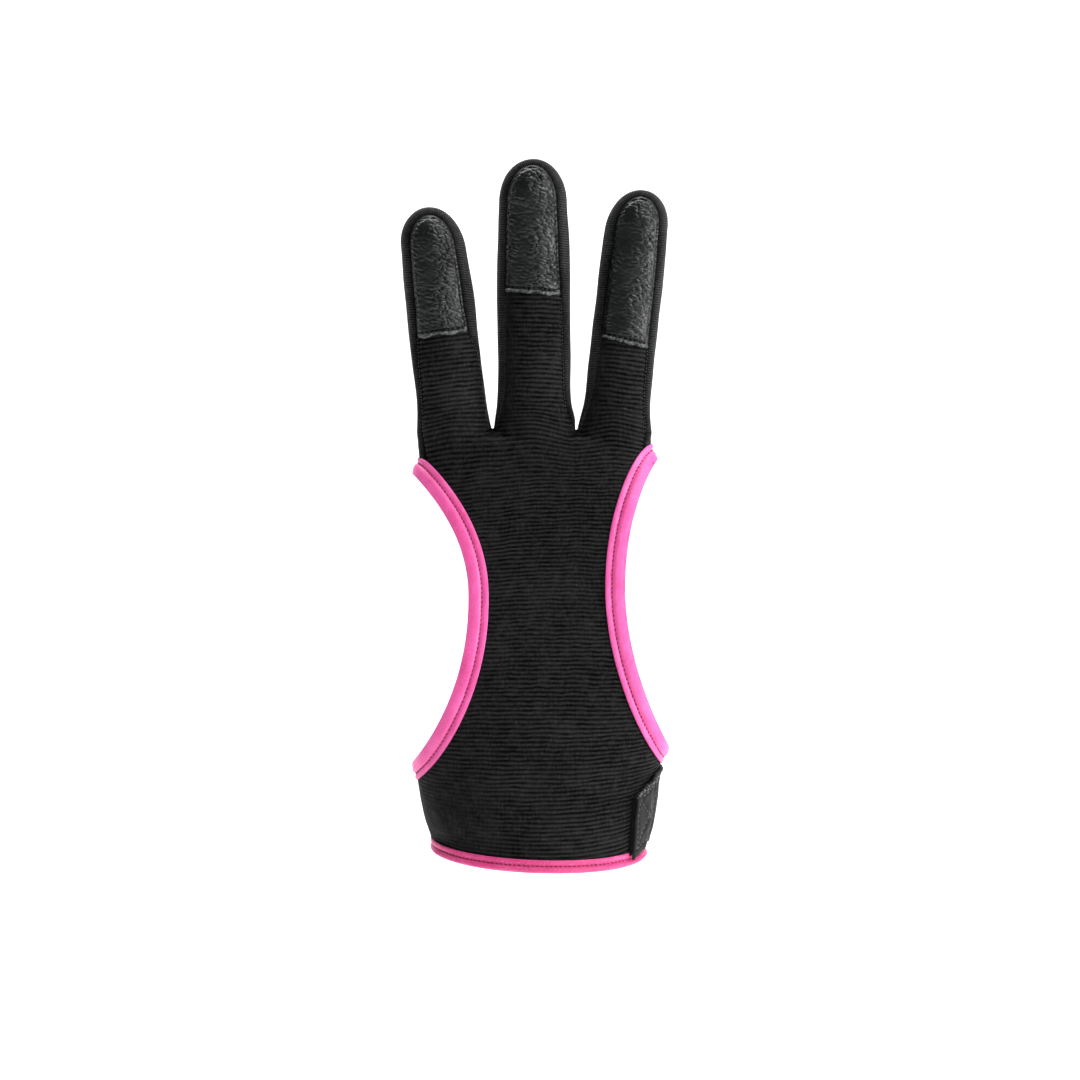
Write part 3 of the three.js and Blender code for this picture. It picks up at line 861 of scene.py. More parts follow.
# The plain back
FINE_RIB = 0.68  # pitch of the fine ribs
FINE_PARTS = 3  # rows of points to a fine rib
FINE_HEIGHT = 0.2
BACK_PITCH = 2.4  # pitch of the rows on the inner side
ROLL = 0.55  # height of the roll of cloth beside a seam
BACK_COLUMNS = (20, 16, 20)  # across the back: index, middle and ring part
WEB_COLUMNS = 6  # along each web, from the back to the palm side
PAST_END = 0.9  # the back cloth closes round the side this far past an opening's ends


def back_end_turn(side, z):
    """The angle round the form, from the middle of the back, where the back panel ends."""
    opening = THUMB if side < 0 else LITTLE
    left, right = outline(z)
    c, a = (left + right) / 2, (right - left) / 2
    at_edge = np.arcsin(np.clip((inset_edge(opening, z) - side * c) / a, -1, 1))
    past_end = (z < opening["bottom"] - PAST_END) | (z > opening["top"] + PAST_END)
    at_edge = np.where(past_end, math.pi / 2, at_edge)
    seam = math.pi - np.arcsin(np.clip((side * seam_x(side, z) - side * c) / a, -1, 1))
    up = step(opening["top"] - 0.2, opening["top"] + 4.5, z)
    return side * (at_edge * (1 - up) + seam * up)


def back_rows(heights):
    """Points on the form for a row of the back panel at each height."""
    n = sum(BACK_COLUMNS)
    saddles = [web_line(x, [WEB_BACK_Y])[0] for x in WEB_POINTS]
    s = np.linspace(0, 1, n + 1)[None, :]
    height = np.asarray(heights, float)[:, None] + 0 * s
    z = height.copy()
    tilt = HEM_TILT * (1 - step(0, HEM_FADE, height))
    upper = step(95, 117, height)
    splits = np.cumsum((0,) + BACK_COLUMNS) / n
    for _ in range(5):
        left, right = outline(z)
        c, a = (left + right) / 2, (right - left) / 2
        t0, t1 = back_end_turn(-1, z[:, :1]), back_end_turn(1, z[:, -1:])
        even = t0 + (t1 - t0) * s
        webs = [np.arcsin(np.clip((x - c[:, :1]) / a[:, :1], -1, 1)) for x in WEB_POINTS]
        drawn = between_knots(s, splits, (t0, *webs, t1))
        t = even * (1 - upper) + drawn * upper
        deep = np.where(np.cos(t) < 0, hand("palm", z), hand("back", z))
        power = hand("square", z)
        y = deep * np.sign(np.cos(t)) * (1 - np.abs(np.sin(t)) ** power + 1e-9) ** (1 / power)
        x = c + a * np.sin(t)
        p = onto(np.stack([x, y, z], -1), steps=2, level=True)
        dip = sum((WEB - saddle[2]) * hill(p[..., 0], saddle[0], 6) for saddle in saddles)
        z = height + tilt * p[..., 1] + HEM_LEAN * (1 - step(0, 20, height)) * p[..., 0]
        z = z - dip * step(108, WEB, height)
    p[..., 2] = z
    return p


def back_lift(p, phase, seams, ribs=1.0):
    """How far the back cloth stands out: fine ribs, broad waves and the roll beside a seam."""
    roll = ROLL * at_seams(seams, lambda d: hill(d, 1.9, 2.1))
    roll = roll - 0.55 * at_seams(seams, lambda d: 1 - step(0, 0.9, d))
    fine = FINE_HEIGHT * (rib_profile(phase) - 0.5) * ribs
    return fine + roll + 0.10 * noise(p, 24, 21, 2)


def back_painted_shade(phase, seams, ribs=1.0):
    """Painted shade between two fine ribs, evenly where the ribs fade, and in the seam."""
    fine = ((1 - rib_profile(phase)) * ribs + 0.42 * (1 - ribs)) * 0.9
    seam = at_seams(seams, lambda d: 1 - step(0.2, 0.7, d))
    return np.clip(np.maximum(fine, seam), 0, 1)


def build_back(shape, ribbed):
    """The back's outer side with its fine ribs, or its plain inner side. Returns its border lines."""
    parts = FINE_PARTS if ribbed else 1
    pitch = FINE_RIB if ribbed else BACK_PITCH
    low = HEM_RISE + CLOTH_INSET
    count = int(round((WEB - low) / pitch)) * parts
    heights = np.linspace(low, WEB, count + 1)
    phase = np.arange(count + 1)[:, None] / parts
    p = back_rows(heights)
    below_web = slice(-60 if ribbed else -5, None)
    top = onto(p[below_web], steps=3)
    near = step(106, 116, top[..., 2])[..., None]
    p[below_web] = p[below_web] * (1 - near) + top * near
    columns = np.cumsum((0,) + BACK_COLUMNS)
    webs = [web_line(x, np.linspace(WEB_BACK_Y, WEB_POINT_Y, WEB_COLUMNS + 1)) for x in WEB_POINTS]
    for k, web in enumerate(webs):
        for back in range(1, 4 * parts):
            share = (1 - back / (4 * parts)) ** 2
            p[-1 - back, columns[k + 1]] += share * (web[0] - p[-1, columns[k + 1]])
        p[-1, columns[k + 1]] = web[0]
    for side, opening in ((-1, THUMB), (1, LITTLE)):
        p = pin_to_seam(p, side, opening["top"] + 1)
    p[below_web] = onto(p[below_web], steps=2)

    def place(p, phase, seams, only=None, ribs=1.0, shade=0.0):
        """Adds points at their place on the cloth's outer or inner side."""
        n = outward(p, only)
        if not ribbed:
            return shape.add(p - n * CLOTH_WALL)
        # shade is painted shade added between the fingers
        painted_shade_and_raw_edge = np.maximum(back_painted_shade(phase, seams, ribs), shade)
        return shape.add(p + n * back_lift(p, phase, seams, ribs)[..., None], painted_shade_and_raw_edge)

    no_seams = [(np.array(9.0), 0.0)] * 2
    depth = step(108, 113, p[..., 2])
    ids = place(p, phase, [(edge, depth) for edge in row_edges(p)])
    shape.quads(ids)
    lines = {"bottom": ids[0], "left": ids[:, 0], "right": ids[:, -1]}
    # the rows along the webs get painted shade, 0.75
    web_ids = [np.concatenate([[ids[-1, columns[k + 1]]], place(web[1:], 0.5, no_seams, shade=0.75)])
               for k, web in enumerate(webs)]
    for k, f in enumerate(FINGERS):
        row = [ids[-1, columns[k]:columns[k + 1] + 1]]
        pts = [p[-1, columns[k]:columns[k + 1] + 1]]
        if k > 0:
            row.insert(0, web_ids[k - 1][:0:-1])
            pts.insert(0, webs[k - 1][:0:-1])
        if k < 2:
            row.append(web_ids[k][1:])
            pts.append(webs[k][1:])
        row, first = np.concatenate(row), np.concatenate(pts)
        start, _ = finger_round(f)
        ribs = int(round((start - WEB) / pitch))
        rows_at = np.linspace(WEB, start, ribs * parts + 1)[1:]

        def turn(side, f=f):
            front = front_turn(f, side)
            return lambda z: side * math.pi - front(z)

        # angles here run from the left seam round the back: -(pi - turn) to (pi - turn), from +Y
        rows = back_finger_rows(f, first, rows_at, turn(-1), turn(1))
        rows = pin_to_seam(rows, k - 1) if k != 1 else rows
        row_phase = (np.arange(1, len(rows_at) + 1) / parts)[:, None]
        seams = [(edge, seam_depth(f, side, rows[..., 2])) for edge, side in zip(row_edges(rows), (-1, 1))]
        edge = np.minimum(*row_edges(rows))
        ribs_left = 1 - step(start - 8, start - 1, rows[..., 2]) * step(5, 11, edge)
        number = np.arange(rows.shape[1])[None, :]
        from_web = np.minimum(number if k > 0 else 99, number[:, ::-1] if k < 2 else 99)
        # painted shade low between the fingers, beside the webs
        in_web = 0.75 * (1 - step(1, 5, rows[..., 2] - WEB))
        in_web = in_web * (1 - step(WEB_COLUMNS, WEB_COLUMNS + 3, from_web))
        row_ids = np.concatenate([row[None], place(rows, row_phase, seams, f, ribs_left, in_web)])
        shape.quads(row_ids)
        half = (len(row) - 1) // 2
        turns = int(round(math.pi * (f["width"] / 2 + 0.8) / pitch))
        fan = tip_fan(f, turns * parts, half, math.pi)
        fan_phase = (np.arange(turns * parts + 1) / parts)[:, None]
        edge = row_edges(fan)[0][1:-1, :-1]
        cap = place(fan[1:-1, :-1], fan_phase[1:-1], [(edge, 1.0)] * 2, f, 1 - step(5, 11, edge))
        cap_ids = cap_faces(row_ids[-1], cap)
        shape.quads(cap_ids)
        lines[f["name"]] = finger_border(row_ids, cap_ids)
    return lines


def back_finger_rows(f, first, heights, turn0, turn1):
    """Rows of a finger's back above the web row, from angle turn0 to turn1 round it."""
    n = first.shape[0]
    s = np.linspace(0, 1, n)[None, :]
    z = np.asarray(heights, float)[:, None] + 0 * s
    own = step(0, 9, z - WEB)
    x, y, half, deep = finger_at(f, z)
    t0, t1 = turn0(z[:, :1]), turn1(z[:, -1:])
    t = t0 + (t1 - t0) * s
    tube = np.stack([x + half * np.sin(t), y + deep * np.cos(t), z], -1)
    base_x, _, _, _ = finger_at(f, np.full(1, WEB))
    lifted = first[None] + 0 * tube
    lifted[..., 0] += x - base_x
    lifted[..., 2] = z + (first[None, :, 2] - WEB) * (1 - own)
    p = lifted * (1 - own[..., None]) + tube * own[..., None]
    return onto(p, only=f, steps=5)


# The leather
LEATHER_PITCH = 1.3  # of the holes along the lower edge
LEATHER_SPACING = 0.14  # between two rows of points
LEATHER_COLUMNS = 104


def build_leather(shape, f, seed):
    """A pebbled leather pad with a frayed, stitched lower edge. Returns the stitch line."""
    start, height = finger_round(f)
    end = f["tip"] - f["leather"]
    slope = math.tan(math.radians(f["lean"]))
    arch = f["tip"] - f["top"] - 0.1
    straight = int((start - end) / LEATHER_SPACING)
    turned = int((arch - start) * 1.35 / LEATHER_SPACING)
    v_straight = np.linspace(0, 1, straight, endpoint=False)
    v = np.concatenate([v_straight, 1 + np.linspace(0, 1, turned + 1)])[:, None]
    u = np.linspace(-1, 1, LEATHER_COLUMNS + 1)[None, :]
    angle = np.clip(v - 1, 0, 1) * math.pi / 2
    z_mid = np.where(v < 1, end + (start - end) * v, start + (arch - start) * np.sin(angle)) + 0 * u
    shrink = np.where(v < 1, 1.0, np.cos(angle)) + 0 * u
    _, _, half, _ = finger_at(f, z_mid)
    top = np.minimum(z_mid, start)
    left = half - rim(f, -1, np.maximum(top, end + 3)) - 0.12
    right = half - rim(f, 1, np.maximum(top, end + 3)) - 0.12
    reach = np.where(u < 0, left, right)
    off = reach * shrink * np.sin(u * math.pi / 2 * 0.999)
    z = z_mid + slope * off * (1 - step(0, 0.5, v))
    _, _, half, deep = finger_at(f, np.minimum(z, start))
    axis_x, axis_y, _, _ = finger_at(f, z)
    up = np.maximum(0, z - start) / height
    y = axis_y - deep * np.sqrt(np.maximum(0.0, 1 - (off / half) ** 2 - up**2))
    p = onto(np.stack([axis_x + off, y, z], -1), 0.3, only=f, steps=2)

    beside = reach * shrink - np.abs(off)
    round_gap = (1 - np.sqrt((off / reach) ** 2 + (np.maximum(0, z - start) / (arch - start)) ** 2)) * reach
    beside = np.where(v < 1, beside, np.maximum(0, round_gap))
    below = z_mid - end
    pillow = 0.80 * step(0, 1.5, beside) + 0.25 * step(1, 5, beside)
    pillow = pillow - 0.75 * (1 - step(0, 0.45, beside))

    clear = step(0.0, 0.35, beside) * step(0.4, 1.8, below)
    around = half * np.arcsin(np.clip(off / half, -1, 1))
    # the grain is worn smooth from the middle to the left, and open at both flanks
    flank = off / half + 0.10 * noise(p, 7, seed + 27, 2)
    relief = 0.42 + 0.72 * step(-0.30, 0.15, flank) + 0.80 * step(-0.36, -0.60, flank)
    warp = [0.22 * noise(p, 4.5, seed + k, 2) for k in range(2)]
    cu, cv = around / 1.75 + warp[0] + 30, z + warp[1] + 0.22 * around
    first, second, value = cells(cu, cv, seed)
    valley = np.exp(-(((second - first) / 0.17) ** 2))
    f2, s2, _ = cells(cu * 2.2 + 11, cv * 2.2, seed + 5)
    small = np.exp(-(((s2 - f2) / 0.2) ** 2))
    strength = np.clip(0.85 + 0.45 * noise(p, 8, seed + 9, 2), 0.35, 1.5) * f["grain"]
    grain = 0.24 * (1 - np.clip(first / 0.75, 0, 1) ** 2) - 0.13 * valley + 0.10 * (value - 0.5)
    grain = (grain - 0.03 * small + 0.02 * noise(p, 0.9, seed + 3, 2)) * strength * clear * relief
    creases = 0.04 * noise(p * np.array([0.35, 0.35, 1.0]), 6.5, seed + 13, 2) * step(1, 3, beside)
    run = np.where(v < 1, v * (start - end), (start - end) + (v - 1) * 10) + 0.5 * noise(p, 6, seed + 15, 1)
    pulled = -0.38 * (0.5 + 0.5 * np.cos(2 * math.pi * run / 1.35)) ** 2 * hill(beside, 0.5, 0.9)

    stitch_at = 1.25
    holes = 0.5 + 0.5 * np.cos(2 * math.pi * off / LEATHER_PITCH)
    groove = -0.30 * hill(below, stitch_at, 0.6) - 0.30 * holes * hill(below, stitch_at, 0.5)
    fray = np.where(below < 0.95, 0.16 * noise(p * 3, 1.8, seed + 17, 2), 0)
    lip = 0.50 * hill(below, 0.45, 0.75) + fray
    lift = pillow + grain + creases + pulled + groove + lip
    ragged = 0.34 * noise(p * np.array([1.0, 0, 0]), 3.2, seed + 21, 3) * (1 - step(0, 1.2, below))
    n = outward(p, f)
    outer = p + n * lift[..., None]
    outer[..., 2] -= ragged
    # dark is painted shade in the grain's creases, along the pad's border and in the stitch holes
    dark = np.clip(0.52 * valley * strength + 0.15 * small, 0, 0.75) * np.minimum(relief, 1) * clear
    dark = np.maximum(dark, 1 - step(0.1, 1.0, beside + 0.45 * noise(p, 1.6, seed + 29, 2)))
    dark = np.maximum(dark, 0.9 * holes * hill(below, stitch_at, 0.5))
    # raw is the cut edge's own pale wear, stored below 0
    raw = (1 - step(0.60, 1.0, below)) * np.clip(0.7 + 0.5 * noise(p, 1.0, seed + 23, 2), 0, 1)
    ids = shape.add(outer, np.where(raw > 0.05, -raw, dark))
    shape.quads(ids)
    under = onto(p, 0.12, only=f, steps=2)
    rows = np.unique(np.append(np.arange(0, len(under), 8), len(under) - 1))
    inner_ids = shape.add(under[rows][:, ::6])
    shape.quads(inner_ids)
    for k in (0, -1):
        shape.zip(ids[k], inner_ids[k])
        shape.zip(ids[:, k], inner_ids[:, k])
    row = int(round(stitch_at / LEATHER_SPACING))
    return outer[row, 4:-4] + n[row, 4:-4] * 0.08, n[row, 4:-4]


# Stitches
def stitches(shape, line, normals, pitch, length, radius, slant=0.0, closed=False, sag=0.1, tag=0):
    """Small capsules along a line on a surface, each dipping in at its ends."""
    full = np.concatenate([line, line[:1]]) if closed else line
    full_n = np.concatenate([normals, normals[:1]]) if closed else normals
    along = arc_length(full)
    count = max(1, int(round(along[-1] / pitch)))
    pitch = along[-1] / count
    share = np.linspace(-0.5, 0.5, 6)
    fat = np.array([0.35, 0.85, 1.0, 1.0, 0.85, 0.35])
    turn = np.linspace(0, 2 * math.pi, 7)[:-1]
    for k in range(count):
        wobble = rng.uniform(-0.06, 0.06)
        at = (k + 0.5 + wobble) * pitch + share * length
        centre = np.stack([np.interp(at, along, full[:, c]) for c in range(3)], 1)
        n = np.stack([np.interp(at, along, full_n[:, c]) for c in range(3)], 1)
        n /= np.linalg.norm(n, axis=1, keepdims=True)
        way = centre[-1] - centre[0]
        way /= np.linalg.norm(way)
        side = np.cross(way, n)
        centre = centre + side * (share * slant * length)[:, None] - n * (sag * (2 * share) ** 2)[:, None]
        r = radius * fat * rng.uniform(0.9, 1.1)
        rings = (centre[:, None] + (side * r[:, None])[:, None] * np.cos(turn)[None, :, None] * 1.15
                 + (n * r[:, None])[:, None] * np.sin(turn)[None, :, None])
        shape.tube(rings, tag)


# Folded tape
TAPE_SPACING = 0.42  # between two sections of the tape
TAPE_ROLL = 1.33  # height of the tape's round border
HEM_TAPE_ROLL = 1.31
TAPE_FLAT = 0.62  # height of the flat strip between the groove and the border on the cloth
TOP_PARTS = 13  # points across the tape's outer side
STITCH_PITCH = 1.3
STITCH_INSET = 1.9  # the stitch line lies this far from the tape's border on the cloth
LOBE = (33.0, 111.2)  # where the little finger's tape bulges out beside a fold, x and z
FOLD_SHADE = 0.7


def opening_loop(opening):
    """The closed edge line of an opening: up the palm side, over the top and down the back."""
    t = np.linspace(0, 1, 700)
    ends = 1 - (1 - t) ** 2.6  # points crowd where the line passes round the side
    up = opening["waist"] + (opening["top"] - opening["waist"]) * ends
    down = opening["waist"] + (opening["bottom"] - opening["waist"]) * ends
    z = np.concatenate([down[::-1], up[1:]])
    x = opening["side"] * edge_x(opening, z)
    left, right = outline(z)
    c, a = (left + right) / 2, (right - left) / 2
    u = np.clip(np.abs(x - c) / a, 0, 1)
    n = hand("square", z)
    line = []
    for face in (-1, 1):
        y = face * hand("palm" if face < 0 else "back", z) * (1 - u**n + 1e-9) ** (1 / n)
        p = onto(np.stack([x, y, z], -1), steps=3, level=True)
        p[..., 1] = np.where(face * p[..., 1] < 0, 0, p[..., 1])
        line.append(p)
    return np.concatenate([line[0], line[1][::-1][1:-1]])


def fold_section(width):
    """The tape's outline across its fold: how far it lies into the cloth, and above its surface."""
    inner = -CLOTH_WALL - 0.15
    low, high = inner - 0.75, 1.15
    out = [(width, 0.12), (width - 0.04, 0.5)]
    out += [(width - 0.25 - (width - 0.75) * k / (TOP_PARTS - 1), "top") for k in range(TOP_PARTS)]
    for turn in np.linspace(80, -80, 7):
        t = math.radians(turn)
        out.append((0.5 - 0.62 * math.cos(t), (low + high) / 2 + (high - low) / 2 * math.sin(t)))
    out += [(0.7 + (width - 1.3) * k / 3, inner - 0.8) for k in range(4)]
    out += [(width - 0.3, inner - 0.45), (width - 0.35, inner)]
    out += [(CLOTH_INSET - 0.1, inner), (CLOTH_INSET - 0.1, 0.1)]
    return out


def fold_at(p):
    """1 in the fold below the bulge of the little finger's tape."""
    line = p[..., 2] - (LOBE[1] - 1.9) + 0.35 * (p[..., 0] - LOBE[0])
    return hill(line, 0, 0.7) * step(LOBE[0] - 3.2, LOBE[0] - 1.8, p[..., 0])


def lobe_at(p, b):
    """The bulge of the little finger's tape, at the distance b into the cloth."""
    away = np.hypot(p[..., 0] - LOBE[0] + 0.3, p[..., 2] - LOBE[1])
    return 0.75 * hill(away, 0, 2.4) * step(4.2, 2.2, b) - 0.85 * fold_at(p)


def build_tape(shape, loop, into, width, seed, roll):
    """Sweeps the folded section along a closed line. Returns the stitch line on its outer side."""
    line = resample_loop(loop, TAPE_SPACING)
    for _ in range(3):
        line = (np.roll(line, 1, 0) + line * 2 + np.roll(line, -1, 0)) / 4
        line = onto(line, steps=2)
    along = np.roll(line, -2, 0) - np.roll(line, 2, 0)
    along /= np.linalg.norm(along, axis=1, keepdims=True)
    n = outward(line)
    side = np.cross(along, n)
    side /= np.linalg.norm(side, axis=1, keepdims=True)
    if np.mean(np.sum(side * into(line), axis=1)) < 0:
        side = -side
    groove_at = width - STITCH_INSET
    distance = arc_length(np.concatenate([line, line[:1]]))[:-1]
    total = distance[-1] + TAPE_SPACING
    count = round(total / STITCH_PITCH)
    beat = np.cos(2 * math.pi * (distance / total * count))
    rings, painted_shade_and_raw_edge = [], []
    stitch_line = None
    for b, h in fold_section(width):
        base = line + side * b
        normal = n
        if b > 0.2:
            base = onto(base, steps=3)
            normal = outward(base)
        if h == "top":
            body = TAPE_FLAT
            if b < groove_at:
                share = (groove_at - b) / groove_at
                body = body + (roll - TAPE_FLAT) * np.sin(math.pi * (share * 0.85 + 0.08)) ** 0.6
            edge = -0.12 * hill(b, width, 0.5)
            strip = 0.10 * hill(b, width - 0.85, 0.8)
            groove = -0.30 * hill(b, groove_at, 0.75)
            pucker = 0.07 * beat * hill(b, groove_at, 1.6) + 0.035 * noise(base, 2.2, seed, 2)
            pucker = pucker + 0.05 * noise(base, 6, seed + 2, 2)
            lift = body + edge + strip + groove + pucker + lobe_at(base, b)
            if abs(b - groove_at) < 0.35 and stitch_line is None:
                stitch_line = (base + normal * (lift + 0.16)[:, None], normal)
            # painted shade in the stitch groove, at the tape's border on the cloth and in the fold under
            # the lobe
            deep = 0.35 * hill(b, groove_at, 0.42) + 0.9 * hill(b, width, 0.3) + FOLD_SHADE * fold_at(base)
        else:
            lift = np.full(len(base), h)
            deep = 0 * lift
        rings.append(base + normal * lift[:, None])
        painted_shade_and_raw_edge.append(deep)
    rings = np.stack(rings, axis=1)
    ids = shape.add(rings, np.stack(painted_shade_and_raw_edge, axis=1))
    ids = np.concatenate([ids, ids[:, :1]], axis=1)
    ids = np.concatenate([ids, ids[:1]], axis=0)
    shape.quads(ids)
    return stitch_line


def hem_loop():
    """The closed edge line of the wrist's hem."""
    t = np.linspace(0, 2 * math.pi, 900, endpoint=False)
    p = np.zeros((900, 3))
    for _ in range(6):
        x, y = section_point(t, p[:, 2])
        p = np.stack([x, y, HEM_RISE + HEM_TILT * y + HEM_LEAN * x], -1)
    return onto(p, steps=2, level=True)


# The closure strap
# The strap's two ends along x, and the heights of its middle at its free end, side and root
STRAP = dict(end_x=25.0, end_slant=1.3, root_x=3.0,
             end=9.4, side=15.4, root=20.5, end_width=17.6, width=20.6)
STRAP_BOX = dict(near=1.3, far=12.0, inset=1.9)  # its stitched square, from the free end and the edges
STRAP_ROWS = 150
STRAP_COLUMNS = 56
FRAY_THREADS = 60  # loose threads on the strap's upper edge
FRAY_LENGTH = 9.5  # over this length from its free end


def strap_grid(x0, inset, across, along):
    """A band from x0 on the palm side round the little finger's side to the root on the back."""
    v = np.linspace(-0.5, 0.5, across + 1)[None, :]

    def turn(x, z):
        return np.arcsin(((x - hand("shift", z)) / hand("side", z)) ** (hand("square", z) / 2))

    t0 = turn(x0 + STRAP["end_slant"] * v, STRAP["end"] + STRAP["end_width"] * v)
    t1 = math.pi - turn(STRAP["root_x"], STRAP["root"] + STRAP["width"] * v)
    t = t0 + (t1 - t0) * np.linspace(0, 1, along + 1)[:, None]
    x_share = (np.sin(t) - np.sin(t0)) / (1 - np.sin(t0))
    round_share = np.where(t < math.pi / 2, np.clip(x_share, 0, 1) ** 0.9, 1.0)
    back_share = np.clip((t - math.pi / 2) / (t1 - math.pi / 2), 0, 1)
    middle = np.where(t < math.pi / 2, STRAP["end"] + (STRAP["side"] - STRAP["end"]) * round_share,
                      STRAP["side"] + (STRAP["root"] - STRAP["side"]) * back_share)
    run = np.clip(round_share + back_share, 0, 1)
    width = STRAP["end_width"] + (STRAP["width"] - STRAP["end_width"]) * run
    z = middle + (width - 2 * inset) * v
    x, y = section_point(t, z)
    return onto(np.stack([x, y, z], -1), steps=3, level=True), v


def build_strap(shape):
    """The strap. Returns its outer points, their directions, and their places along and across it."""
    p, v = strap_grid(STRAP["end_x"], 0.0, STRAP_COLUMNS, STRAP_ROWS)
    s = arc_length(p[:, STRAP_COLUMNS // 2])[:, None] + 0 * v
    edge = (0.5 - np.abs(v)) * STRAP["width"] + 0 * s
    over_hook = 1 - step(6.5, 10.0, s)
    under = 0.45 + 1.0 * over_hook
    box = STRAP_BOX
    long_side, short_side = box["far"] - box["near"], STRAP["end_width"] - 2 * box["inset"]
    bs = (s - box["near"]) / long_side
    bw = v * STRAP["end_width"] / short_side + 0.5 + 0 * s
    inside = (bs > -0.04) & (bs < 1.04) & (bw > -0.04) & (bw < 1.04)
    from_lines = np.minimum.reduce([
        np.abs(bs) * long_side, np.abs(1 - bs) * long_side, np.abs(bw) * short_side,
        np.abs(1 - bw) * short_side, np.abs(bs - bw) * 6.8, np.abs(1 - bs - bw) * 6.8])
    sewn = np.where(inside, hill(from_lines, 0, 0.85), 0)
    waves = 0.16 * noise(p, 12, 51, 2) + 0.10 * noise(p * np.array([1, 1, 0.4]), 5, 53, 2)
    binding = 0.10 * hill(edge, 0.5, 0.7) + 0.10 * hill(s, 0.4, 0.7)
    top_edge = (v > 0) * (edge < 0.6) * 0.10 * noise(p * 2.5, 1.3, 55, 2)
    n = outward(p)
    lower = p + n * (under + waves)[..., None]
    upper = p + n * (under + 0.85 + waves + binding + top_edge - 0.38 * sewn)[..., None]
    fray = 0.12 * noise(p * np.array([1.0, 1.0, 0]), 0.9, 57, 2) * (edge < 0.4) * (v > 0)
    upper[..., 2] += fray
    # the sewn lines carry painted shade, 0.85
    up_ids, low_ids = shape.add(upper, 0.85 * sewn), shape.add(lower[::5, ::8])
    shape.quads(up_ids)
    shape.quads(low_ids)
    for one, two in zip(borders(up_ids), borders(low_ids)):
        shape.zip(one, two)
    return upper, n, s, v


def build_hooks(shape):
    """The hook tape under the strap's free end."""
    p = strap_grid(STRAP["end_x"] - 0.15, 1.0, 40, 60)[0][:9]
    n = outward(p)
    fuzz = 0.10 * noise(p * 3, 1.2, 61, 2)
    top, low = p + n * (1.15 + fuzz)[..., None], p + n * 0.3
    a, b = shape.add(top), shape.add(low)
    shape.quads(a)
    shape.quads(b)
    for pair in zip(borders(a), borders(b)):
        shape.quads(np.stack(pair))


# Materials
class Paint:
    """A material with a Principled shader and short calls for its texture nodes."""

    def __init__(self, name, roughness, sheen=0.0, sheen_tint=(1, 1, 1), sheen_roughness=0.5, specular=0.5):
        self.material = bpy.data.materials.new(name)
        self.material.use_nodes = True
        self.tree = self.material.node_tree
        self.shader = self.tree.nodes["Principled BSDF"]
        inputs = self.shader.inputs
        inputs["Roughness"].default_value = roughness
        inputs["Sheen Weight"].default_value = sheen
        inputs["Sheen Tint"].default_value = (*sheen_tint, 1)
        inputs["Sheen Roughness"].default_value = sheen_roughness
        inputs["Specular IOR Level"].default_value = specular
        self.place = self.node("ShaderNodeTexCoord").outputs["Object"]

    def node(self, kind, links=(), **values):
        """Adds a node, with values for its inputs or settings and links to its inputs."""
        made = self.tree.nodes.new(kind)
        for key, value in values.items():
            if key in made.inputs:
                made.inputs[key].default_value = value
            else:
                setattr(made, key, value)
        for key, source in dict(links).items():
            self.tree.links.new(source, made.inputs[key])
        return made

    def scaled(self, x, y, z):
        """The place on the glove, for a texture with so many repeats to the metre."""
        return self.node("ShaderNodeMapping", {"Vector": self.place}, Scale=(x, y, z)).outputs["Vector"]

    def noise(self, x, y, z, detail=2.0, rough=0.5):
        place = {"Vector": self.scaled(x, y, z)}
        made = self.node("ShaderNodeTexNoise", place, Scale=1.0, Detail=detail, Roughness=rough)
        return made.outputs["Fac"]

    def cells(self, x, y, z):
        made = self.node("ShaderNodeTexVoronoi", {"Vector": self.scaled(x, y, z)}, Scale=1.0)
        return made.outputs["Distance"]

    def waves(self, size, distortion):
        place = {"Vector": self.scaled(size, size, size)}
        made = self.node("ShaderNodeTexWave", place, Scale=1.0, Distortion=distortion)
        return made.outputs["Fac"]

    def painted_shade_and_raw_edge(self):
        """The painted shade given to Shape.add: 1 deep in a groove, and below 0 where the leather's raw
        edge is pale.
        """
        return self.node("ShaderNodeAttribute", attribute_name="painted_shade_and_raw_edge").outputs["Fac"]

    def spread(self, source, low, high, out_low=0.0, out_high=1.0):
        """Turns values from low to high into values from out_low to out_high."""
        limits = {"From Min": low, "From Max": high, "To Min": out_low, "To Max": out_high}
        return self.node("ShaderNodeMapRange", {"Value": source}, **limits).outputs["Result"]

    def math(self, what, one, two):
        made = self.node("ShaderNodeMath", operation=what)
        for k, source in enumerate((one, two)):
            if isinstance(source, (int, float)):
                made.inputs[k].default_value = source
            else:
                self.tree.links.new(source, made.inputs[k])
        return made.outputs[0]

    def mix(self, share, one, two):
        """A colour between two colours."""
        made = self.node("ShaderNodeMix", data_type="RGBA")
        self.tree.links.new(share, made.inputs["Factor"])
        for key, source in (("A", one), ("B", two)):
            socket = [s for s in made.inputs if s.name == key and s.type == "RGBA"][0]
            if isinstance(source, tuple):
                socket.default_value = (*source, 1)
            else:
                self.tree.links.new(source, socket)
        return [s for s in made.outputs if s.type == "RGBA"][0]

    def bump(self, source, strength, depth, before=None):
        made = self.node("ShaderNodeBump", {"Height": source}, Strength=strength, Distance=depth)
        if before is not None:
            self.tree.links.new(before, made.inputs["Normal"])
        return made.outputs["Normal"]

    def link(self, name, source):
        self.tree.links.new(source, self.shader.inputs[name])


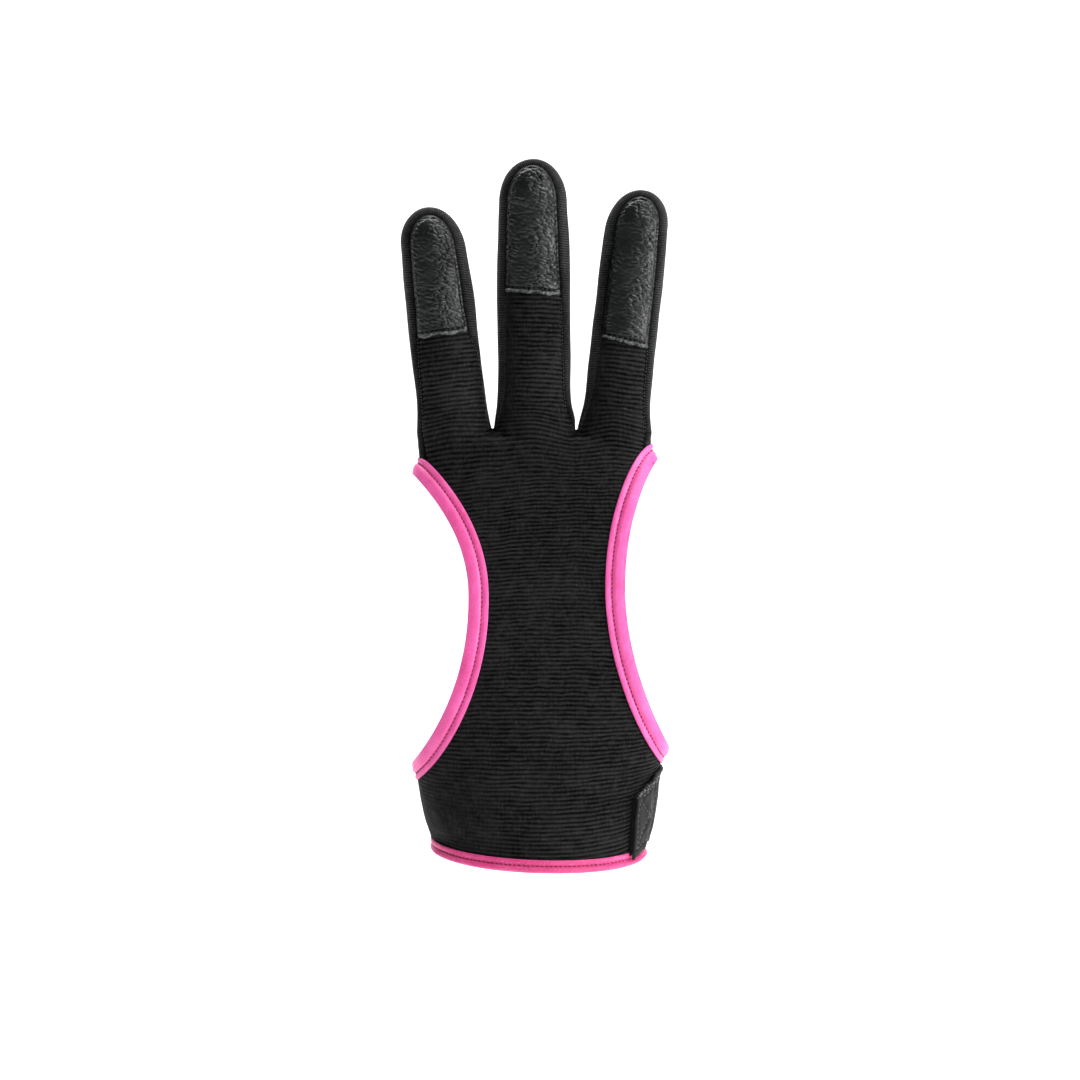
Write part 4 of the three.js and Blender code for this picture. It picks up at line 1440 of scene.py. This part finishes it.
def cloth_material(name, dark, light, weave, lint):
    """Matt black elastic cloth: knit grain, uneven dye, a little lint, and painted shade in its grooves."""
    paint = Paint(name, 0.86, sheen=0.03, sheen_tint=(0.8, 0.84, 0.9), sheen_roughness=0.45, specular=0.15)
    knit = paint.noise(weave, weave, weave * 0.45, 3.0, 0.6)
    broad = paint.noise(55, 55, 90, 3.0)
    wales = paint.waves(262, 1.5)
    yarn = paint.math("ADD", paint.math("MULTIPLY", knit, 0.96), paint.math("MULTIPLY", wales, 0.04))
    tone = paint.mix(paint.spread(yarn, 0.35, 0.72), dark, light)
    worn = paint.mix(paint.spread(broad, 0.4, 0.75, 0.0, 0.5), tone, tuple(1.5 * c for c in light))
    painted_shade_and_raw_edge = paint.painted_shade_and_raw_edge()
    specks = paint.cells(620, 620, 620)
    chosen = paint.noise(260, 260, 260, 1.0)
    speck = paint.math("MULTIPLY", paint.spread(specks, 0.10, 0.05), paint.spread(chosen, 0.60, 0.66))
    flecked = paint.mix(paint.math("MULTIPLY", speck, lint), worn, (0.16, 0.16, 0.16))
    # painted shade in grooves, seams and webs, with less shine there
    deep = paint.math("MULTIPLY", painted_shade_and_raw_edge, 0.93)
    paint.link("Base Color", paint.mix(deep, flecked, (0.0008, 0.0008, 0.0008)))
    paint.link("Roughness", paint.spread(knit, 0.3, 0.7, 0.92, 0.74))
    paint.link("Specular IOR Level", paint.spread(painted_shade_and_raw_edge, 0.0, 0.8, 0.22, 0.0))
    fine = paint.bump(yarn, 0.7, 0.0002)
    paint.link("Normal", paint.bump(paint.noise(weave * 2.2, weave * 2.2, weave, 2.0), 0.35, 0.00008, fine))
    return paint.material


def leather_material():
    """Black leather with a fine grain, worn pale at its cut edge, with painted shade in its creases, border
    and holes.
    """
    paint = Paint("black_leather", 0.36)
    grain = paint.noise(1500, 1500, 1300, 4.0, 0.65)
    patches = paint.noise(160, 160, 200, 3.0)
    pores = paint.cells(1900, 1900, 1700)
    tone = paint.mix(paint.spread(patches, 0.35, 0.7), (0.0028, 0.0036, 0.0036), (0.0055, 0.007, 0.007))
    painted_shade_and_raw_edge = paint.painted_shade_and_raw_edge()
    mottled = paint.mix(paint.spread(grain, 0.45, 0.75, 0.0, 0.35), tone, (0.014, 0.017, 0.017))
    worn = paint.mix(paint.spread(painted_shade_and_raw_edge, 0.0, -1.0), mottled, (0.085, 0.092, 0.092))
    # painted shade in creases, border and holes, with less shine there
    deep = paint.spread(painted_shade_and_raw_edge, 0.0, 1.0, 0.0, 0.9)
    paint.link("Base Color", paint.mix(deep, worn, (0.0015, 0.0017, 0.0017)))
    paint.link("Roughness", paint.spread(patches, 0.3, 0.7, 0.28, 0.40))
    paint.link("Specular IOR Level", paint.spread(painted_shade_and_raw_edge, 0.0, 0.9, 0.46, 0.05))
    one = paint.bump(grain, 0.22, 0.00010)
    paint.link("Normal", paint.bump(pores, 0.15, 0.00005, one))
    return paint.material


def tape_material(name, dark, light):
    """Bright woven tape with a soft shine, with painted shade in its grooves."""
    paint = Paint(name, 0.52, sheen=0.12, sheen_tint=(1.0, 0.7, 1.0), sheen_roughness=0.35, specular=0.4)
    weave = paint.noise(2600, 2600, 2600, 2.0)
    broad = paint.noise(120, 120, 120, 3.0)
    tone = paint.mix(paint.spread(broad, 0.3, 0.7), dark, light)
    painted_shade_and_raw_edge = paint.painted_shade_and_raw_edge()
    woven = paint.mix(paint.spread(weave, 0.5, 0.75, 0.0, 0.35), tone, (0.95, 0.24, 0.55))
    # painted shade in the grooves, at the border and in the fold
    paint.link("Base Color", paint.mix(painted_shade_and_raw_edge, woven, (0.42, 0.006, 0.09)))
    paint.link("Roughness", paint.spread(broad, 0.3, 0.7, 0.55, 0.42))
    paint.link("Normal", paint.bump(weave, 0.4, 0.00009))
    return paint.material


def thread_material(name, dark, light):
    """Twisted thread."""
    paint = Paint(name, 0.6, sheen=0.2, specular=0.3)
    twist = paint.noise(3200, 3200, 3200, 2.0)
    paint.link("Base Color", paint.mix(paint.spread(twist, 0.35, 0.65), dark, light))
    paint.link("Normal", paint.bump(twist, 0.5, 0.00006))
    return paint.material


def strap_material(name, dark, light, roughness, specular):
    """Dull woven tape of the strap and the hook tape, with painted shade in the strap's sewn grooves."""
    paint = Paint(name, roughness, sheen=0.02, sheen_roughness=0.4, specular=specular)
    weave = paint.noise(2300, 2300, 2300, 3.0, 0.6)
    broad = paint.noise(90, 90, 150, 3.0)
    tone = paint.mix(paint.spread(weave, 0.35, 0.7), dark, light)
    painted_shade_and_raw_edge = paint.painted_shade_and_raw_edge()
    worn = paint.mix(paint.spread(broad, 0.35, 0.7, 0.0, 0.6), tone, tuple(1.5 * c for c in light))
    paint.link("Base Color", paint.mix(painted_shade_and_raw_edge, worn, (0.002, 0.002, 0.002)))
    paint.link("Roughness", paint.spread(broad, 0.3, 0.7, roughness - 0.08, roughness + 0.08))
    paint.link("Normal", paint.bump(weave, 0.45, 0.00012))
    return paint.material


ribbed_cloth = cloth_material("ribbed_cloth", (0.003, 0.003, 0.0031), (0.0165, 0.0165, 0.0168), 1500, 0.5)
plain_cloth = cloth_material("plain_cloth", (0.012, 0.012, 0.0125), (0.045, 0.045, 0.0455), 1900, 0.35)
black_leather = leather_material()
pink_tape = tape_material("pink_tape", (0.74, 0.070, 0.29), (0.86, 0.120, 0.40))
# the hem's tape is the same pink tape, given darker colours as painted shade since it faces down
shaded_pink_hem_tape = tape_material("shaded_pink_hem_tape", (0.58, 0.034, 0.17), (0.70, 0.062, 0.24))
pink_thread = thread_material("dark_pink_thread", (0.16, 0.002, 0.03), (0.33, 0.006, 0.07))
black_thread = thread_material("black_thread", (0.004, 0.004, 0.004), (0.012, 0.013, 0.013))
grey_thread = thread_material("grey_thread", (0.02, 0.02, 0.021), (0.07, 0.07, 0.072))
frayed_thread = thread_material("frayed_thread", (0.16, 0.16, 0.16), (0.40, 0.40, 0.40))
strap_thread = thread_material("strap_thread", (0.035, 0.035, 0.036), (0.10, 0.10, 0.102))
strap_cloth = strap_material("strap_cloth", (0.009, 0.009, 0.0092), (0.019, 0.019, 0.0194), 0.72, 0.22)
hook_tape = strap_material("hook_tape", (0.003, 0.003, 0.0032), (0.008, 0.008, 0.0085), 0.9, 0.1)

# The pieces
palm = Shape()
close_border(palm, build_palm(palm, True), build_palm(palm, False))
palm_piece = palm.piece("palm_cloth", [ribbed_cloth], "palm_panel")

back = Shape()
close_border(back, build_back(back, True), build_back(back, False))
back_piece = back.piece("back_cloth", [plain_cloth], "back_panel")

leather_seams = Shape()
for number, finger in enumerate(FINGERS):
    pad = Shape()
    seam, seam_normal = build_leather(pad, finger, 100 + 40 * number)
    pad.piece(finger["name"] + "_leather", [black_leather], finger["name"] + "_patch")
    stitches(leather_seams, seam, seam_normal, 1.25, 0.95, 0.14, slant=0.12)
leather_seams.piece("leather_stitches", [black_thread])

seam_threads = Shape()
for f, side in ((FINGERS[0], -1), (FINGERS[0], 1), (FINGERS[1], 1), (FINGERS[2], 1)):
    low = WEB + (6 if side > 0 and f is not FINGERS[2] else 0)
    z = np.linspace(low, f["tip"] - f["leather"] - 0.8, 60)
    line = front_points(np.stack([strip_x(f, side, z) - side * 0.12, 0 * z, z], -1))
    normals = outward(line)
    stitches(seam_threads, line + normals * 0.08, normals, 0.95, 0.5, 0.075, slant=0.2)
seam_threads.piece("seam_stitches", [grey_thread])

tape_seams = Shape()


def add_tape(name, material, loop, into, width, seed, roll):
    """One tape, and its stitches with those of the other tapes."""
    binding = Shape()
    seam = build_tape(binding, loop, into, width, seed, roll)
    binding.piece(name + "_binding", [material], name + "_tape")
    stitches(tape_seams, *seam, STITCH_PITCH, 0.95, 0.19, slant=0.25, closed=True)


for number, opening in enumerate((THUMB, LITTLE)):
    # the tape lies on the cloth away from a point in the opening
    gap = np.array([opening["side"] * 48.0, 0.0, opening["waist"] - 4])
    add_tape(opening["name"], pink_tape, opening_loop(opening), lambda p: p - gap,
             TAPE_WIDTH, 200 + 10 * number, TAPE_ROLL)
add_tape("hem", shaded_pink_hem_tape, hem_loop(), lambda p: np.array([0.0, 0.0, 1.0]),
         HEM_TAPE_WIDTH, 240, HEM_TAPE_ROLL)
tape_seams.piece("tape_stitches", [pink_thread])

hooks = Shape()
build_hooks(hooks)
hooks.piece("hook_layer", [hook_tape], "hook_patch")
strap = Shape()
strap_top, strap_n, strap_s, strap_v = build_strap(strap)
strap.piece("closure_strap", [strap_cloth], "wrist_strap")


def strap_line(points):
    """A line on the strap through (distance from the free end, share of its width) points."""
    out, out_n = [], []
    for (s0, v0), (s1, v1) in zip(points[:-1], points[1:]):
        for share in np.linspace(0, 1, 24, endpoint=False):
            s, v = s0 + (s1 - s0) * share, v0 + (v1 - v0) * share
            j = int(np.argmin(np.abs(strap_v[0] - v)))
            i = int(np.argmin(np.abs(strap_s[:, j] - s)))
            out.append(strap_top[i, j])
            out_n.append(strap_n[i, j])
    out, out_n = np.array(out), np.array(out_n)
    for _ in range(4):
        out[1:-1] = (out[:-2] + 2 * out[1:-1] + out[2:]) / 4
    return out + out_n * 0.06, out_n


strap_seams = Shape()
near, far = STRAP_BOX["near"], STRAP_BOX["far"]
side = 0.5 - STRAP_BOX["inset"] / STRAP["end_width"]
corners = [(near, -side), (near, side), (far, side), (far, -side), (near, -side)]
for points in (corners, corners[0:3:2], corners[1:4:2]):
    stitches(strap_seams, *strap_line(points), 1.5, 1.1, 0.13, slant=0.05)
for _ in range(FRAY_THREADS):
    s = rng.uniform(0.0, 1.0) ** 1.3 * FRAY_LENGTH
    start, normal = strap_line([(s, 0.5), (s + 0.2, 0.5)])
    way = rng.normal(size=3) * np.array([0.8, 0.4, 0.5]) + np.array([0.0, 0.0, 0.8])
    reach = rng.uniform(0.3, 1.1) * way / np.linalg.norm(way)
    root = start[0] + 0.05 * normal[0] + np.array([0.0, 0.0, rng.uniform(-0.4, 0.0)])
    thread = np.stack([root, root + reach])
    stitches(strap_seams, thread, normal[:2], 1.0, 0.9 * np.linalg.norm(reach), 0.055, sag=0.02, tag=1)
strap_seams.piece("strap_stitches", [strap_thread, frayed_thread])

# Floor and lights
CAMERA_AWAY = 1.0
FRAME_WIDTH = 0.3024
EYE_HEIGHT = 0.089
FLOOR = -0.11
SWEEP_FROM = 0.9  # the floor bends up into a wall behind the glove, from here
SWEEP_BEND = 0.7

floor_material = bpy.data.materials.new("pale_floor")
floor_material.use_nodes = True
floor_shader = floor_material.node_tree.nodes["Principled BSDF"]
floor_shader.inputs["Base Color"].default_value = (0.93, 0.93, 0.93, 1)
floor_shader.inputs["Roughness"].default_value = 0.9
floor_shader.inputs["Specular IOR Level"].default_value = 0.1

rows = [(-3.0 + 1.2 * k, FLOOR) for k in range(3)]
for turn in np.linspace(0, 90, 16):
    t = math.radians(turn)
    rows.append((SWEEP_FROM + SWEEP_BEND * math.sin(t), FLOOR + SWEEP_BEND * (1 - math.cos(t))))
rows.append((SWEEP_FROM + SWEEP_BEND, FLOOR + 3.0))
sweep = bpy.data.meshes.new("pale_sweep")
points = [(x, y, z) for y, z in rows for x in (-4.0, 4.0)]
sweep.from_pydata(points, [], [(2 * k, 2 * k + 1, 2 * k + 3, 2 * k + 2) for k in range(len(rows) - 1)])
for polygon in sweep.polygons:
    polygon.use_smooth = True
sweep.materials.append(floor_material)
sweep_piece = bpy.data.objects.new("pale_sweep", sweep)
bpy.context.scene.collection.objects.link(sweep_piece)


def lamp(name, place, target, size, watts):
    """A rectangular light at a place, aimed at a target."""
    light = bpy.data.lights.new(name, "AREA")
    light.shape = "RECTANGLE"
    light.size, light.size_y = size
    light.energy = watts
    made = bpy.data.objects.new(name, light)
    made.location = place
    way = np.array(target) - np.array(place)
    made.rotation_mode = "QUATERNION"
    made.rotation_quaternion = Vector(way).to_track_quat("-Z", "Y")
    bpy.context.scene.collection.objects.link(made)


aim = (0.0, 0.0, 0.09)
lamp("key_light", (0.70, -0.75, 0.95), aim, (0.3, 0.3), 9.5)
lamp("right_light", (0.95, -0.30, 0.20), aim, (0.2, 0.7), 8.0)
lamp("left_light", (-1.0, -0.10, 0.25), aim, (0.15, 0.5), 0.6)
lamp("top_light", (0.10, -0.35, 1.2), aim, (0.3, 0.3), 4.0)
lamp("sweep_light", (0.0, 0.55, 1.6), (0.0, 1.2, -0.1), (2.4, 0.6), 54.0)

world = bpy.data.worlds.new("studio")
bpy.context.scene.world = world
world.use_nodes = True
background = world.node_tree.nodes["Background"]
background.inputs["Color"].default_value = (1.0, 1.0, 1.0, 1)
background.inputs["Strength"].default_value = 0.11

camera_data = bpy.data.cameras.new("camera")
camera = bpy.data.objects.new("camera", camera_data)
camera_data.sensor_width = 36.0
camera_data.lens = 36.0 * CAMERA_AWAY / FRAME_WIDTH
camera.location = (0.0, -CAMERA_AWAY, EYE_HEIGHT)
camera.rotation_euler = (math.radians(90), 0, 0)
bpy.context.scene.collection.objects.link(camera)
bpy.context.scene.camera = camera
bpy.context.scene.view_settings.view_transform = "Standard"
bpy.context.scene.view_settings.look = "None"
